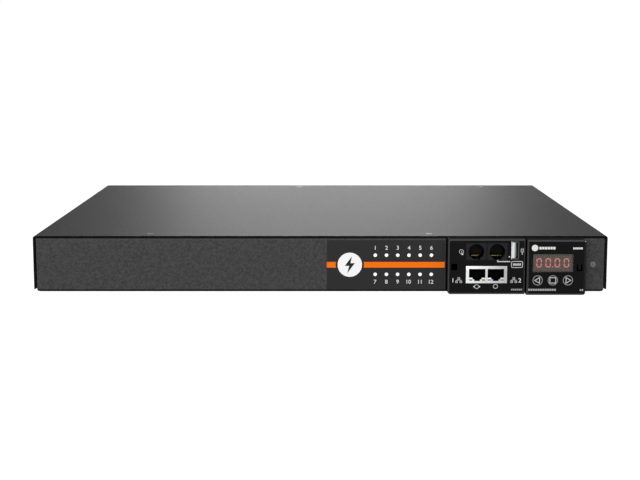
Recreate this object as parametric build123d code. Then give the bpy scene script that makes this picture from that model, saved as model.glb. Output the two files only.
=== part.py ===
from build123d import *
import os

# Rack power distribution unit. Millimetres. X runs to the right seen from the front, Y runs from the
# front to the back and Z runs up. The origin is the middle of the flat underside.

# Folded steel case
case_width = 442.0
case_height = 43.5
case_depth = 370.0
sheet = 1.2
bend_radius = 1.8
cover_gap = 0.3
panel_side_gap = 1.1
panel_recess = 0.4
cover_lift = 2.1
return_flange = 22.0
side_flange_height = 36.0
corner_relief = 3.0
panel_corner = 2.8

# Cover screws, the panel rivet and the clinch nuts that take rack ears
screw_radius = 1.5
screw_head_radius = 2.4
screw_head_depth = 0.9
screw_length = 6.0
screw_clearance = 0.2
drive_length = 2.8
drive_width = 0.6
drive_depth = 0.6
screw_inset = 13.8
front_screw_left_inset = 88.6
front_screw_right_inset = 136.4
rear_screw_left_inset = 200.2
rear_screw_right_inset = 56.7
side_screw_height = 21.0
side_screw_front = -92.0
side_screw_pitch = 122.0
side_screw_count = 3
rivet_inset = 10.9
rivet_z = 21.4
rivet_head_radius = 2.4
rivet_head_height = 0.8
rivet_radius = 1.6
rivet_tail_length = 1.5
rivet_bore_radius = 0.7
ear_hole_radius = 2.05
ear_nut_radius = 3.9
ear_nut_height = 2.2
ear_shank_radius = 2.9
ear_spacing_y = 36.0
ear_spacing_z = 18.0
ear_centre_inset = 36.0
ear_centre_height = 21.0

# Status label, its printed stripe and disc, and the two rows of lamps
film = 0.25
print_film = 0.1
label_width = 90.8
label_gap = 1.4
label_bottom = 1.9
label_top = 40.3
stripe_height = 4.45
stripe_z = 21.1
badge_inset = 17.7
badge_radius = 9.4
badge_ring = 0.9
lamp_first_inset = 37.3
lamp_pitch = 8.65
lamp_count = 6
lamp_upper_z = 28.55
lamp_lower_z = 13.6
lamp_radius = 1.3
lamp_clearance = 0.1
lamp_proud = 0.15
pipe_bar_height = 6.0
pipe_bar_depth = 3.0
pipe_post = 2.7
pipe_end_margin = 3.5
led_gap = 0.3
led_width = 2.0
led_height = 1.0

# Circuit boards and the snap-in posts that hold the status board
board = 1.6
status_board_margin = 9.4
status_board_bottom = 4.0
status_board_top = 38.0
post_inset = 3.6
post_radius = 2.6
post_pin_radius = 1.4
post_cap_radius = 2.0
post_cap_height = 1.0
post_clearance = 0.1

# Module mouldings shared by both modules
module_bottom = 0.15
bezel_wall = 1.6
bezel_plate = 2.0
bezel_bevel = 1.2
bezel_corner = 2.2
film_margin = 1.6
telescope_gap = 0.1
tub_bottom = 3.0
tub_top = 40.9
tub_wall = 1.0
tub_overlap = 6.0
bay_margin = 0.3
bay_sill = 2.6
port_gap = 0.15

# Communications module
comms_width = 58.85
comms_height = 42.65
comms_stand = 13.0
comms_tub_depth = 72.0
square_hole_inset = 4.8
square_hole_z = 21.4
square_hole_width = 4.4
square_hole_height = 5.0
rail_width = 2.5
rail_height = 2.0
comms_board_end_gap = 6.0

# Shielded network jack with two ports, in the middle of the module
jack_bottom = 8.95
jack_width = 31.3
jack_height = 13.2
jack_depth = 21.5
jack_shield = 0.4
jack_fit = 0.05
jack_port_pitch = 14.2
port_width = 12.5
port_height = 6.8
port_floor = 4.25
port_step_width = 6.9
port_step_height = 1.3
port_notch_width = 4.4
port_notch_height = 1.3
port_depth = 14.0
port_contacts = 8
contact_pitch = 1.02
contact_width = 0.45
contact_thick = 0.3
contact_drop = 1.6
lamp_window_width = 2.4
lamp_window_height = 2.6
lamp_window_offset = 4.95
lamp_window_floor = 1.25
lamp_window_depth = 2.0

# Sensor jack and serial jack above it
phone_jack_width = 15.5
phone_jack_height = 13.1
phone_jack_bottom = 26.7
phone_jack_depth = 16.0
phone_jack_pitch = 15.95
phone_jack_usb_pitch = 13.55
phone_port_radius = 5.95
phone_port_rise = 6.5
phone_port_floor = 2.25
phone_notch_width = 6.3
phone_notch_height = 1.9
phone_port_depth = 13.0
phone_contact_reach = 4.0
phone_contact_rise = 1.7
sensor_contacts = 6
serial_contacts = 8

# Upright USB socket
usb_inset = 7.9
usb_z = 34.2
usb_width = 5.7
usb_height = 13.5
usb_depth = 16.0
usb_wall = 0.35
usb_cut_gap = 0.45
usb_foot = 1.2
usb_tongue = 2.6
usb_tongue_margin = 0.35
usb_tongue_set_back = 0.8
usb_tongue_depth = 10.0

# Display module
display_inset = 19.05
module_gap = 1.0
display_width = 44.8
display_height = 42.45
display_stand = 16.3
display_tub_depth = 22.0
window_inset = 19.6
window_z = 24.95
window_width = 30.6
window_height = 13.95
window_corner = 0.8
window_flange = 1.0
window_flange_width = 1.2
window_set_back = 0.2
digit_gap = 0.2
digit_block_depth = 7.0
digit_block_margin = 0.5
digit_count = 4
digit_shift = 0.3
digit_drop = 0.35
digit_pitch = 6.95
digit_width = 4.15
digit_height = 7.05
segment = 0.85
segment_gap = 0.12
segment_relief = 0.1
point_radius = 0.45
display_board_gap = 0.5
latch_inset = 39.75
latch_z = 21.45
latch_width = 4.4
latch_height = 5.3
latch_slot = 1.1

# Push keys
key_inset = 8.05
key_count = 3
key_pitch = 11.5
key_z = 11.6
key_radius = 4.3
key_clearance = 0.2
key_proud = 0.5
key_flange_radius = 5.0
key_flange = 0.8
key_running_gap = 0.05
key_travel = 0.8
key_stem_radius = 1.6
switch_width = 6.0
switch_height = 3.4
plunger_radius = 1.5
plunger_height = 1.0

# Flat cable from the communications module to the power board, between two of its relays
ribbon_width = 14.0
ribbon_thick = 0.9
ribbon_bend = 4.0
ribbon_start = 10.0
ribbon_end_z = 12.0

# Power inlet on the back panel
inlet_inset = 39.0
inlet_z = 21.0
inlet_flange_width = 59.0
inlet_flange_height = 33.0
inlet_flange = 3.0
inlet_corner = 4.0
inlet_screw_spacing = 50.0
inlet_body_width = 36.0
inlet_body_height = 28.0
inlet_body_depth = 28.0
inlet_cavity_width = 31.0
inlet_cavity_height = 24.0
inlet_cavity_depth = 21.0
inlet_cavity_corner = 3.0
inlet_pin_width = 8.0
inlet_pin_thick = 2.0
inlet_pin_spacing = 13.0
inlet_pin_rise = 3.5
inlet_pin_set_back = 4.0
inlet_tab_length = 8.0
panel_cut_gap = 0.2

# Outlets on the back panel, each turned upright, in two groups that fill the panel beside the inlet
outlet_inset = 24.0
outlet_inlet_gap = 15.9
outlet_pitch = 28.5
outlet_group_step = 36.0
outlet_group_count = 2
outlet_z = 21.0
outlet_flange_width = 25.0
outlet_flange_height = 33.0
outlet_flange = 2.5
outlet_corner = 2.0
outlet_body_width = 23.0
outlet_body_height = 31.0
outlet_body_depth = 24.0
outlet_well_width = 20.6
outlet_well_height = 28.2
outlet_well_depth = 16.0
outlet_core_width = 15.8
outlet_core_height = 23.8
outlet_core_recess = 1.2
outlet_bevel = 4.0
outlet_slot_width = 4.6
outlet_slot_thick = 2.6
outlet_slot_spacing = 14.0
outlet_earth_offset = 4.0
spring_leaf = 0.5
outlet_tab_length = 9.0
outlet_tab_width = 3.6
outlet_tab_thick = 0.8

# Upright power board with one relay for each outlet, the supply transformer and the mains leads
power_board_gap = 7.5
power_board_left_margin = 20.0
power_board_right_margin = 10.0
power_board_bottom = 4.0
power_board_top = 38.0
tab_hole_gap = 0.1
relay_width = 12.6
relay_height = 28.0
relay_depth = 15.5
relay_edge = 0.6
transformer_x = -60.0
transformer_y = 60.0
core_width = 40.0
core_depth = 20.0
core_height = 33.0
bobbin_width = 26.0
bobbin_depth = 34.0
bobbin_height = 21.0
foot_width = 56.0
foot_thick = 1.5
lead_radius = 1.9
lead_bend = 7.0
lead_end_gap = 12.0
line_reach = 25.0
earth_reach = 21.0
neutral_reach = 17.0
line_end_z = 11.0
neutral_end_z = 19.0
earth_end_z = 29.0

# Planes and edges that several pieces share
front_y = -case_depth / 2
rear_y = case_depth / 2
panel_y = front_y + panel_recess
panel_back_y = panel_y + sheet
rear_panel_y = rear_y - panel_recess
rear_inner_y = rear_panel_y - sheet
base_half = case_width / 2 - sheet - cover_gap
panel_half = case_width / 2 - sheet - panel_side_gap
panel_top = case_height - sheet - cover_gap
side_x = case_width / 2
rivet_x = side_x - rivet_inset
display_right = side_x - display_inset
display_left = display_right - display_width
display_face_y = panel_y - display_stand
window_x = display_left + window_inset
latch_x = display_left + latch_inset
key_places = [display_left + key_inset + index * key_pitch for index in range(key_count)]
comms_right = display_left - module_gap
comms_left = comms_right - comms_width
comms_face_y = panel_y - comms_stand
jack_x = (comms_left + comms_right) / 2
square_hole_x = comms_left + square_hole_inset
usb_x = comms_right - usb_inset
serial_jack_x = usb_x - phone_jack_usb_pitch
sensor_jack_x = serial_jack_x - phone_jack_pitch
label_right = comms_left - label_gap
label_left = label_right - label_width
badge_x = label_left + badge_inset
lamp_places = [label_left + lamp_first_inset + index * lamp_pitch for index in range(lamp_count)]
status_board_left = lamp_places[0] - status_board_margin
status_board_right = lamp_places[-1] + status_board_margin
inlet_x = inlet_inset - side_x
outlet_last_x = side_x - outlet_inset
outlet_room = outlet_last_x - inlet_x - inlet_flange_width / 2 - outlet_inlet_gap - outlet_flange_width / 2
outlet_step_room = (outlet_room - (outlet_group_count - 1) * outlet_group_step) / outlet_group_count
outlet_count = int(outlet_step_room / outlet_pitch) + 1
outlet_group_width = (outlet_count - 1) * outlet_pitch + outlet_group_step
outlet_first_x = outlet_last_x - outlet_group_count * outlet_group_width + outlet_group_step
outlet_places = [outlet_first_x + group * outlet_group_width + index * outlet_pitch
                 for group in range(outlet_group_count) for index in range(outlet_count)]
ribbon_x = min((place + outlet_pitch / 2 for place in outlet_places), key=lambda middle: abs(middle - jack_x))
outlet_body_end_y = rear_inner_y - outlet_body_depth
inlet_body_end_y = rear_inner_y - inlet_body_depth
power_board_y = outlet_body_end_y - power_board_gap
power_board_left = outlet_places[0] - power_board_left_margin
power_board_right = outlet_places[-1] + power_board_right_margin
lead_end_x = outlet_places[0] - lead_end_gap
cover_screw_places = [(front_screw_left_inset - side_x, front_y + screw_inset),
                      (side_x - front_screw_right_inset, front_y + screw_inset),
                      (rear_screw_left_inset - side_x, rear_y - screw_inset),
                      (side_x - rear_screw_right_inset, rear_y - screw_inset)]
side_screw_places = [side_screw_front + index * side_screw_pitch for index in range(side_screw_count)]
ear_places = [(front_y + ear_centre_inset + side * ear_spacing_y / 2,
               ear_centre_height + rise * ear_spacing_z / 2) for side in (-1, 1) for rise in (-1, 1)]
post_places = [(x, z) for x in (status_board_left + post_inset, status_board_right - post_inset)
               for z in (status_board_bottom + post_inset, status_board_top - post_inset)]
status_board_y = panel_back_y + pipe_bar_depth + pipe_post + led_gap + led_height


# Helpers
def block(x_span, y_span, z_span):
    """A box between two values of X, of Y and of Z."""
    centre = [(span[0] + span[1]) / 2 for span in (x_span, y_span, z_span)]
    lengths = [span[1] - span[0] for span in (x_span, y_span, z_span)]
    return Pos(*centre) * Box(*lengths)


def through(sketch, near_y, far_y):
    """A sketch in X and Z, drawn through from one Y to a larger Y."""
    return extrude(Plane.XZ.offset(-far_y) * sketch, amount=far_y - near_y, dir=(0, -1, 0))


def across(sketch, left_x, right_x):
    """A sketch in Y and Z, drawn across from one X to a larger X."""
    return extrude(Plane.YZ.offset(left_x) * sketch, amount=right_x - left_x, dir=(1, 0, 0))


def bar(x, z, width, height, radius=0.0):
    """A rectangle in the front view, with round corners where a radius is given."""
    if radius > 0:
        return Pos(x, z) * RectangleRounded(width, height, radius)
    return Pos(x, z) * Rectangle(width, height)


def span(left, right, bottom, top, radius=0.0):
    """A rectangle in the front view between its edges."""
    return bar((left + right) / 2, (bottom + top) / 2, right - left, top - bottom, radius)


def disc(x, z, radius):
    """A circle in the front view."""
    return Pos(x, z) * Circle(radius)


def group(solids):
    """Separate solids kept together in one node."""
    return Compound(children=list(solids))


def screw(length):
    """A flat-head screw with its head's top at the origin, pointing down, with a cross drive."""
    hanging = (Align.CENTER, Align.CENTER, Align.MAX)
    head = Cone(screw_radius, screw_head_radius, screw_head_depth, align=hanging)
    shank = Cylinder(screw_radius, length, align=hanging)
    drive = Box(drive_length, drive_width, 2 * drive_depth) + Box(drive_width, drive_length, 2 * drive_depth)
    return head + shank - drive


def countersink():
    """The hole that a flat-head screw leaves in the cover."""
    hanging = (Align.CENTER, Align.CENTER, Align.MAX)
    seat = Cone(screw_radius, screw_head_radius, screw_head_depth, align=hanging)
    way = Cylinder(screw_radius + screw_clearance, 2 * sheet, align=hanging)
    return seat + way


def top_places():
    """Locations of the screws in the top."""
    return [Pos(x, y, case_height) for x, y in cover_screw_places]


def side_places():
    """Locations of the screws in the two sides, turned so that each head faces out."""
    return [Pos(side * case_width / 2, y, side_screw_height) * Rot(0, 90 * side, 0)
            for side in (-1, 1) for y in side_screw_places]


def side_bore(radius, y, z, depth):
    """Holes of one radius through both sides, from the outside inwards."""
    bore = Rot(0, 90, 0) * Cylinder(radius, depth)
    return [Pos(side * (case_width - depth) / 2, y, z) * bore for side in (-1, 1)]


# Case
def chassis_base():
    """Floor, front panel, back panel and their top returns in one folded strip, with side flanges."""
    length = rear_panel_y - panel_y
    outer = bar(0, panel_top / 2, length, panel_top, bend_radius)
    inner = bar(0, panel_top / 2, length - 2 * sheet, panel_top - 2 * sheet, bend_radius - sheet)
    mouth = bar(0, panel_top, length - 2 * return_flange, 4 * sheet)
    strip = across(outer - inner - mouth, -panel_half, panel_half)
    tray = bar(0, side_flange_height, 2 * base_half, 2 * side_flange_height, bend_radius)
    hollow = bar(0, side_flange_height, 2 * (base_half - sheet), 2 * (side_flange_height - sheet),
                 bend_radius - sheet)
    upper = bar(0, side_flange_height * 1.5, 2 * case_width, side_flange_height)
    flanges = through(tray - hollow - upper, panel_y + corner_relief, rear_panel_y - corner_relief)
    bay_edge = bezel_wall + telescope_gap - bay_margin
    bay = block((comms_left + bay_edge, display_right - bay_edge),
                (panel_y - sheet, panel_y + return_flange + sheet), (bay_sill, case_height))
    cuts = [bay, through(disc(rivet_x, rivet_z, rivet_radius), panel_y - sheet, panel_back_y + sheet)]
    for side in (-1, 1):
        square = bar(side * panel_half, 0, 2 * panel_corner, 2 * panel_corner)
        corner = square - disc(side * (panel_half - panel_corner), panel_corner, panel_corner)
        cuts.append(through(corner, panel_y - sheet, panel_y + corner_relief))
        cuts.append(through(corner, rear_panel_y - corner_relief, rear_y + sheet))
    for z in (lamp_upper_z, lamp_lower_z):
        for x in lamp_places:
            hole = disc(x, z, lamp_radius + lamp_clearance)
            cuts.append(through(hole, panel_y - sheet, panel_back_y + sheet))
    room = 2 * panel_cut_gap
    inlet_cut = bar(inlet_x, inlet_z, inlet_body_width + room, inlet_body_height + room)
    cuts.append(through(inlet_cut, rear_inner_y - sheet, rear_y + sheet))
    for side in (-1, 1):
        hole = disc(inlet_x + side * inlet_screw_spacing / 2, inlet_z, screw_radius)
        cuts.append(through(hole, rear_inner_y - sheet, rear_y + sheet))
    for x in outlet_places:
        hole = bar(x, outlet_z, outlet_body_width + room, outlet_body_height + room)
        cuts.append(through(hole, rear_inner_y - sheet, rear_y + sheet))
    for place in top_places() + side_places():
        cuts.append(place * Cylinder(screw_radius, 2 * screw_length))
    for y, z in ear_places:
        cuts.extend(side_bore(ear_shank_radius, y, z, 6 * sheet))
    return strip + flanges - cuts


def top_cover():
    """Top and two sides in one folded sheet, open at the front, the back and below."""
    drop = case_height - cover_lift
    outer = bar(0, cover_lift, case_width, 2 * drop, bend_radius)
    inner = bar(0, cover_lift, case_width - 2 * sheet, 2 * (drop - sheet), bend_radius - sheet)
    lower = bar(0, cover_lift - drop / 2, 2 * case_width, drop)
    cover = through(outer - inner - lower, front_y, rear_y)
    cuts = [place * countersink() for place in top_places() + side_places()]
    for y, z in ear_places:
        cuts.extend(side_bore(ear_hole_radius, y, z, 2 * sheet))
    return cover - cuts


def cover_screws():
    return group(place * screw(screw_length) for place in top_places() + side_places())


def panel_rivet():
    """Round-head blind rivet through the front panel."""
    head = through(disc(rivet_x, rivet_z, rivet_head_radius), panel_y - rivet_head_height, panel_y)
    head = fillet(head.faces().sort_by(Axis.Y)[0].edges(), rivet_head_height * 0.7)
    shank = through(disc(rivet_x, rivet_z, rivet_radius), panel_y, panel_back_y)
    tail = through(disc(rivet_x, rivet_z, (rivet_radius + rivet_head_radius) / 2), panel_back_y,
                   panel_back_y + rivet_tail_length)
    bore = through(disc(rivet_x, rivet_z, rivet_bore_radius), panel_y - rivet_head_height,
                   panel_back_y + rivet_tail_length)
    return head + shank + tail - bore


def ear_mount_nuts():
    """Clinch nuts pressed into the side flanges, behind the cover's holes."""
    height = sheet + ear_nut_height
    nut = Cylinder(ear_shank_radius, height) + Pos(0, 0, sheet / 2) * Cylinder(ear_nut_radius, ear_nut_height)
    nut = nut - Cylinder(ear_hole_radius, 2 * height)
    return group(Pos(side * (base_half - height / 2), y, z) * Rot(0, -90 * side, 0) * nut
                 for side in (-1, 1) for y, z in ear_places)


# Status label and lamps
def lamp_sketches(radius):
    return [disc(x, z, radius) for z in (lamp_upper_z, lamp_lower_z) for x in lamp_places]


def status_overlay():
    label = span(label_left, label_right, label_bottom, label_top, film)
    return through(label - lamp_sketches(lamp_radius + lamp_clearance), panel_y - film, panel_y)


def stripe_print():
    """The coloured stripe, printed in two runs that stop clear of the disc."""
    run = span(label_left, label_right, stripe_z - stripe_height / 2, stripe_z + stripe_height / 2)
    rest = run - disc(badge_x, stripe_z, badge_radius + badge_ring)
    return through(rest, panel_y - film - print_film, panel_y - film)


def badge_disc():
    return through(disc(badge_x, stripe_z, badge_radius), panel_y - film - print_film, panel_y - film)


def light_pipe(z):
    """One row of lenses, moulded on a bar behind the panel with a post towards each lamp."""
    ends = (lamp_places[0] - pipe_end_margin, lamp_places[-1] + pipe_end_margin)
    row = span(*ends, z - pipe_bar_height / 2, z + pipe_bar_height / 2, lamp_radius)
    moulding = through(row, panel_back_y, panel_back_y + pipe_bar_depth)
    for x in lamp_places:
        lens = through(disc(x, z, lamp_radius), panel_y - film - lamp_proud, panel_back_y)
        post = through(disc(x, z, lamp_radius), panel_back_y + pipe_bar_depth,
                       panel_back_y + pipe_bar_depth + pipe_post)
        moulding = moulding + lens + post
    return moulding


def light_pipes():
    return group(light_pipe(z) for z in (lamp_upper_z, lamp_lower_z))


def status_board():
    outline = span(status_board_left, status_board_right, status_board_bottom, status_board_top)
    holes = [disc(x, z, post_pin_radius + post_clearance) for x, z in post_places]
    return through(outline - holes, status_board_y, status_board_y + board)


def status_leds():
    return group(through(bar(x, z, led_width, led_width), status_board_y - led_height, status_board_y)
                 for z in (lamp_upper_z, lamp_lower_z) for x in lamp_places)


def board_posts():
    """Snap-in posts from the back of the front panel to the status board."""
    back = status_board_y + board
    posts = []
    for x, z in post_places:
        post = through(disc(x, z, post_radius), panel_back_y, status_board_y)
        pin = through(disc(x, z, post_pin_radius), status_board_y, back)
        cap = through(disc(x, z, post_cap_radius), back, back + post_cap_height)
        posts.append(post + pin + cap)
    return group(posts)


# Parts that both modules share
def bezel_outline(x, z, width, height, outer_side):
    """A module's outline, round at the two corners on the side away from its neighbour."""
    outline = bar(x, z, width, height)
    return fillet([corner for corner in outline.vertices() if (corner.X - x) * outer_side > 0], bezel_corner)


def bezel(left, width, height, face_y, openings, outer_side):
    """A front moulding with a bevelled rim, open at the back, pierced by the given sketches."""
    x = left + width / 2
    z = module_bottom + height / 2
    plate_y = face_y + film
    body = through(bezel_outline(x, z, width, height, outer_side), plate_y, front_y)
    body = chamfer(body.faces().sort_by(Axis.Y)[0].edges(), bezel_bevel)
    room = bar(x, z, width - 2 * bezel_wall, height - 2 * bezel_wall)
    hollow = through(room, plate_y + bezel_plate, front_y)
    return body - hollow - [through(opening, plate_y, plate_y + bezel_plate) for opening in openings]


def module_film(left, width, height, face_y, openings):
    """The printed film on a module's face."""
    label = span(left + film_margin, left + width - film_margin, module_bottom + film_margin,
                 module_bottom + height - film_margin, film)
    return through(label - openings, face_y, face_y + film)


def tub(left, width, near_y, far_y):
    """A module's rear housing: a box open towards the front."""
    edge = bezel_wall + telescope_gap
    outer = span(left + edge, left + width - edge, tub_bottom, tub_top)
    inner = span(left + edge + tub_wall, left + width - edge - tub_wall, tub_bottom + tub_wall,
                 tub_top - tub_wall)
    return through(outer, near_y, far_y) - through(inner, near_y, far_y - tub_wall)


# Communications module
def network_port_sketch(x):
    """One network port: the plug's opening with the latch's two steps below it."""
    floor_z = jack_bottom + port_floor
    main = span(x - port_width / 2, x + port_width / 2, floor_z, floor_z + port_height)
    step = span(x - port_step_width / 2, x + port_step_width / 2, floor_z - port_step_height, floor_z)
    low = floor_z - port_step_height
    notch = span(x - port_notch_width / 2, x + port_notch_width / 2, low - port_notch_height, low)
    return main + step + notch


def network_port_places():
    return [jack_x - jack_port_pitch / 2, jack_x + jack_port_pitch / 2]


def lamp_window_places():
    z = jack_bottom + lamp_window_floor + lamp_window_height / 2
    return [(x + side * lamp_window_offset, z) for x in network_port_places() for side in (-1, 1)]


def lamp_window_sketches():
    return [bar(x, z, lamp_window_width, lamp_window_height) for x, z in lamp_window_places()]


def phone_port_sketch(x):
    """A round opening with a flat floor and a wide latch notch below."""
    middle_z = phone_jack_bottom + phone_port_rise
    floor_z = phone_jack_bottom + phone_port_floor
    beneath = span(x - phone_port_radius, x + phone_port_radius, middle_z - 2 * phone_port_radius, floor_z)
    notch = span(x - phone_notch_width / 2, x + phone_notch_width / 2, floor_z - phone_notch_height, middle_z)
    return disc(x, middle_z, phone_port_radius) - beneath + notch


def comms_openings():
    """Openings in the communications module's face, each a little larger than what stands in it."""
    jack_z = jack_bottom + jack_height / 2
    phone_left = sensor_jack_x - phone_jack_width / 2 - port_gap
    phone_right = serial_jack_x + phone_jack_width / 2 + port_gap
    return [bar(jack_x, jack_z, jack_width + 2 * port_gap, jack_height + 2 * port_gap),
            span(phone_left, phone_right, phone_jack_bottom - port_gap,
                 phone_jack_bottom + phone_jack_height + port_gap),
            bar(usb_x, usb_z, usb_width + 2 * usb_cut_gap, usb_height + 2 * usb_cut_gap),
            bar(square_hole_x, square_hole_z, square_hole_width, square_hole_height)]


def comms_bezel():
    return bezel(comms_left, comms_width, comms_height, comms_face_y, comms_openings(), -1)


def comms_overlay():
    return module_film(comms_left, comms_width, comms_height, comms_face_y, comms_openings())


def comms_tub_ends():
    return (panel_y - tub_overlap, panel_y + comms_tub_depth)


def board_edges():
    """The X of a module board's two edges, inside the rear housing."""
    edge = bezel_wall + telescope_gap + tub_wall + telescope_gap
    return (comms_left + edge, comms_right - edge)


def comms_housing():
    """Rear housing with two pairs of rails for the boards, a slot for the flat cable and a USB notch."""
    near_y, far_y = comms_tub_ends()
    body = tub(comms_left, comms_width, near_y, far_y)
    left, right = board_edges()
    rails = []
    for board_top, foot in ((jack_bottom, tub_bottom + tub_wall), (phone_jack_bottom, None)):
        low = foot if foot else board_top - board - rail_height
        for rail in ((left - telescope_gap, left + rail_width), (right - rail_width, right + telescope_gap)):
            rails.append(block(rail, (near_y, far_y - tub_wall), (low, board_top - board)))
    slot = block((ribbon_x - ribbon_width / 2 - port_gap, ribbon_x + ribbon_width / 2 + port_gap),
                 (far_y - 2 * tub_wall, far_y + tub_wall),
                 (jack_bottom - port_gap, jack_bottom + ribbon_thick + port_gap))
    notch = block((usb_x - usb_width / 2 - port_gap, usb_x + usb_width / 2 + port_gap),
                  (near_y, comms_face_y + usb_depth + port_gap), (tub_top - 2 * tub_wall, tub_top))
    return body + rails - slot - notch


def module_board(top_z, face_y):
    left, right = board_edges()
    near_y = face_y + film + bezel_plate + telescope_gap
    return block((left, right), (near_y, comms_tub_ends()[1] - comms_board_end_gap), (top_z - board, top_z))


def network_jack_shield():
    """Bright sheet box around the network jack, open below, with the ports cut in its front."""
    outer = block((jack_x - jack_width / 2, jack_x + jack_width / 2),
                  (comms_face_y, comms_face_y + jack_depth), (jack_bottom, jack_bottom + jack_height))
    inner = block((jack_x - jack_width / 2 + jack_shield, jack_x + jack_width / 2 - jack_shield),
                  (comms_face_y + jack_shield, comms_face_y + jack_depth - jack_shield),
                  (jack_bottom - jack_shield, jack_bottom + jack_height - jack_shield))
    ports = [network_port_sketch(x) for x in network_port_places()] + lamp_window_sketches()
    return outer - inner - [through(port, comms_face_y, comms_face_y + jack_shield) for port in ports]


def network_jack_insert():
    """Moulded body inside the shield with the two plug cavities and pockets for the lamps."""
    edge = jack_shield + jack_fit
    near_y = comms_face_y + edge
    body = block((jack_x - jack_width / 2 + edge, jack_x + jack_width / 2 - edge),
                 (near_y, comms_face_y + jack_depth - edge),
                 (jack_bottom, jack_bottom + jack_height - edge))
    ports = [through(network_port_sketch(x), near_y, comms_face_y + port_depth) for x in network_port_places()]
    pockets = [through(window, near_y, near_y + lamp_window_depth) for window in lamp_window_sketches()]
    return body - ports - pockets


def contact_wires(x, count, top_z, near_y, far_y, drop):
    """A row of spring wires that slope down, or up where the drop is negative, to a port's back wall."""
    slope = Polygon((near_y, top_z), (far_y, top_z - drop), (far_y, top_z - drop - contact_thick),
                    (near_y, top_z - contact_thick), align=None)
    first = x - (count - 1) * contact_pitch / 2
    return [across(slope, first + index * contact_pitch - contact_width / 2,
                   first + index * contact_pitch + contact_width / 2) for index in range(count)]


def network_jack_contacts():
    top_z = jack_bottom + port_floor + port_height
    near_y = comms_face_y + 2 * jack_shield + jack_fit
    wires = []
    for x in network_port_places():
        wires.extend(contact_wires(x, port_contacts, top_z, near_y, comms_face_y + port_depth, contact_drop))
    return group(wires)


def network_jack_lamps():
    """Four small lamp lenses in the lower corners of the ports."""
    near_y = comms_face_y + jack_fit
    far_y = comms_face_y + jack_shield + jack_fit + lamp_window_depth
    lenses = [bar(x, z, lamp_window_width - 2 * jack_fit, lamp_window_height - 2 * jack_fit)
              for x, z in lamp_window_places()]
    return group(through(lens, near_y, far_y) for lens in lenses)


def phone_jack(x):
    half = phone_jack_width / 2
    body = block((x - half, x + half), (comms_face_y, comms_face_y + phone_jack_depth),
                 (phone_jack_bottom, phone_jack_bottom + phone_jack_height))
    return body - through(phone_port_sketch(x), comms_face_y, comms_face_y + phone_port_depth)


def phone_jack_contacts():
    """Spring wires that rise from the floor of each port to its back wall."""
    top_z = phone_jack_bottom + phone_port_floor + contact_thick
    back_y = comms_face_y + phone_port_depth
    wires = []
    for x, count in ((sensor_jack_x, sensor_contacts), (serial_jack_x, serial_contacts)):
        wires.extend(contact_wires(x, count, top_z, back_y - phone_contact_reach, back_y,
                                   -phone_contact_rise))
    return group(wires)


def usb_shell():
    """Upright metal shell with a foot on the board."""
    outer = bar(usb_x, usb_z, usb_width, usb_height, usb_wall)
    inner = bar(usb_x, usb_z, usb_width - 2 * usb_wall, usb_height - 2 * usb_wall)
    far_y = comms_face_y + usb_depth
    shell = through(outer, comms_face_y, far_y) - through(inner, comms_face_y, far_y - usb_wall)
    foot = block((usb_x - usb_width / 2, usb_x + usb_width / 2), (far_y - usb_foot, far_y),
                 (phone_jack_bottom, usb_z - usb_height / 2 + usb_wall))
    return shell + foot


def usb_tongue_piece():
    """The socket's tongue, which stands out of a plug that fills the back of the shell."""
    half = usb_height / 2 - usb_wall - jack_fit
    left = usb_x - usb_width / 2 + usb_wall + jack_fit
    right = usb_x + usb_width / 2 - usb_wall - jack_fit
    back = comms_face_y + usb_depth - usb_wall
    plug = block((left, right), (comms_face_y + usb_tongue_depth, back), (usb_z - half, usb_z + half))
    start = left + usb_tongue_margin
    tongue = block((start, start + usb_tongue),
                   (comms_face_y + usb_tongue_set_back, comms_face_y + usb_tongue_depth),
                   (usb_z - half + usb_tongue_margin, usb_z + half - usb_tongue_margin))
    return plug + tongue


# Display module
window_front_y = display_face_y + window_set_back
window_ledge_y = display_face_y + film + bezel_plate
digit_front_y = window_ledge_y + window_flange + digit_gap
digit_z = window_z - digit_drop
display_board_y = digit_front_y + digit_block_depth


def latch_slot_sketch():
    """A U-shaped slot, open at its top ends, that leaves a latch tongue in the moulding."""
    tongue = bar(latch_x, latch_z + latch_slot / 2, latch_width - 2 * latch_slot, latch_height - latch_slot)
    return bar(latch_x, latch_z, latch_width, latch_height) - tongue


def display_openings():
    keys = [disc(x, key_z, key_radius + key_clearance) for x in key_places]
    return [bar(window_x, window_z, window_width, window_height, window_corner), latch_slot_sketch()] + keys


def display_bezel():
    return bezel(display_left, display_width, display_height, display_face_y, display_openings(), 1)


def display_overlay():
    return module_film(display_left, display_width, display_height, display_face_y, display_openings())


def display_window():
    """Smoked window that fills its opening and bears on the back of the plate by a flange."""
    fit = 2 * telescope_gap
    pane = bar(window_x, window_z, window_width - fit, window_height - fit, window_corner - telescope_gap)
    margin = 2 * window_flange_width
    rim = bar(window_x, window_z, window_width + margin, window_height + margin)
    pane = through(pane, window_front_y, window_ledge_y)
    return pane + through(rim, window_ledge_y, window_ledge_y + window_flange)


def display_housing():
    """Rear housing that presses the display board against the digit block."""
    return tub(display_left, display_width, display_board_y + board, panel_y + display_tub_depth)


def digit_block():
    """The numeric display's body, standing on the display board."""
    margin = 2 * digit_block_margin
    body = bar(window_x, window_z, window_width - margin, window_height - margin)
    return through(body, digit_front_y + segment_relief, display_board_y)


def segment_bar(length, upright):
    """One bar of a digit, pointed at both ends, centred on the origin."""
    half = length / 2 - segment_gap
    side = segment / 2
    points = [(-half, 0), (-half + side, side), (half - side, side), (half, 0), (half - side, -side),
              (-half + side, -side)]
    if upright:
        points = [(z, x) for x, z in points]
    return Polygon(*points, align=None)


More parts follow.
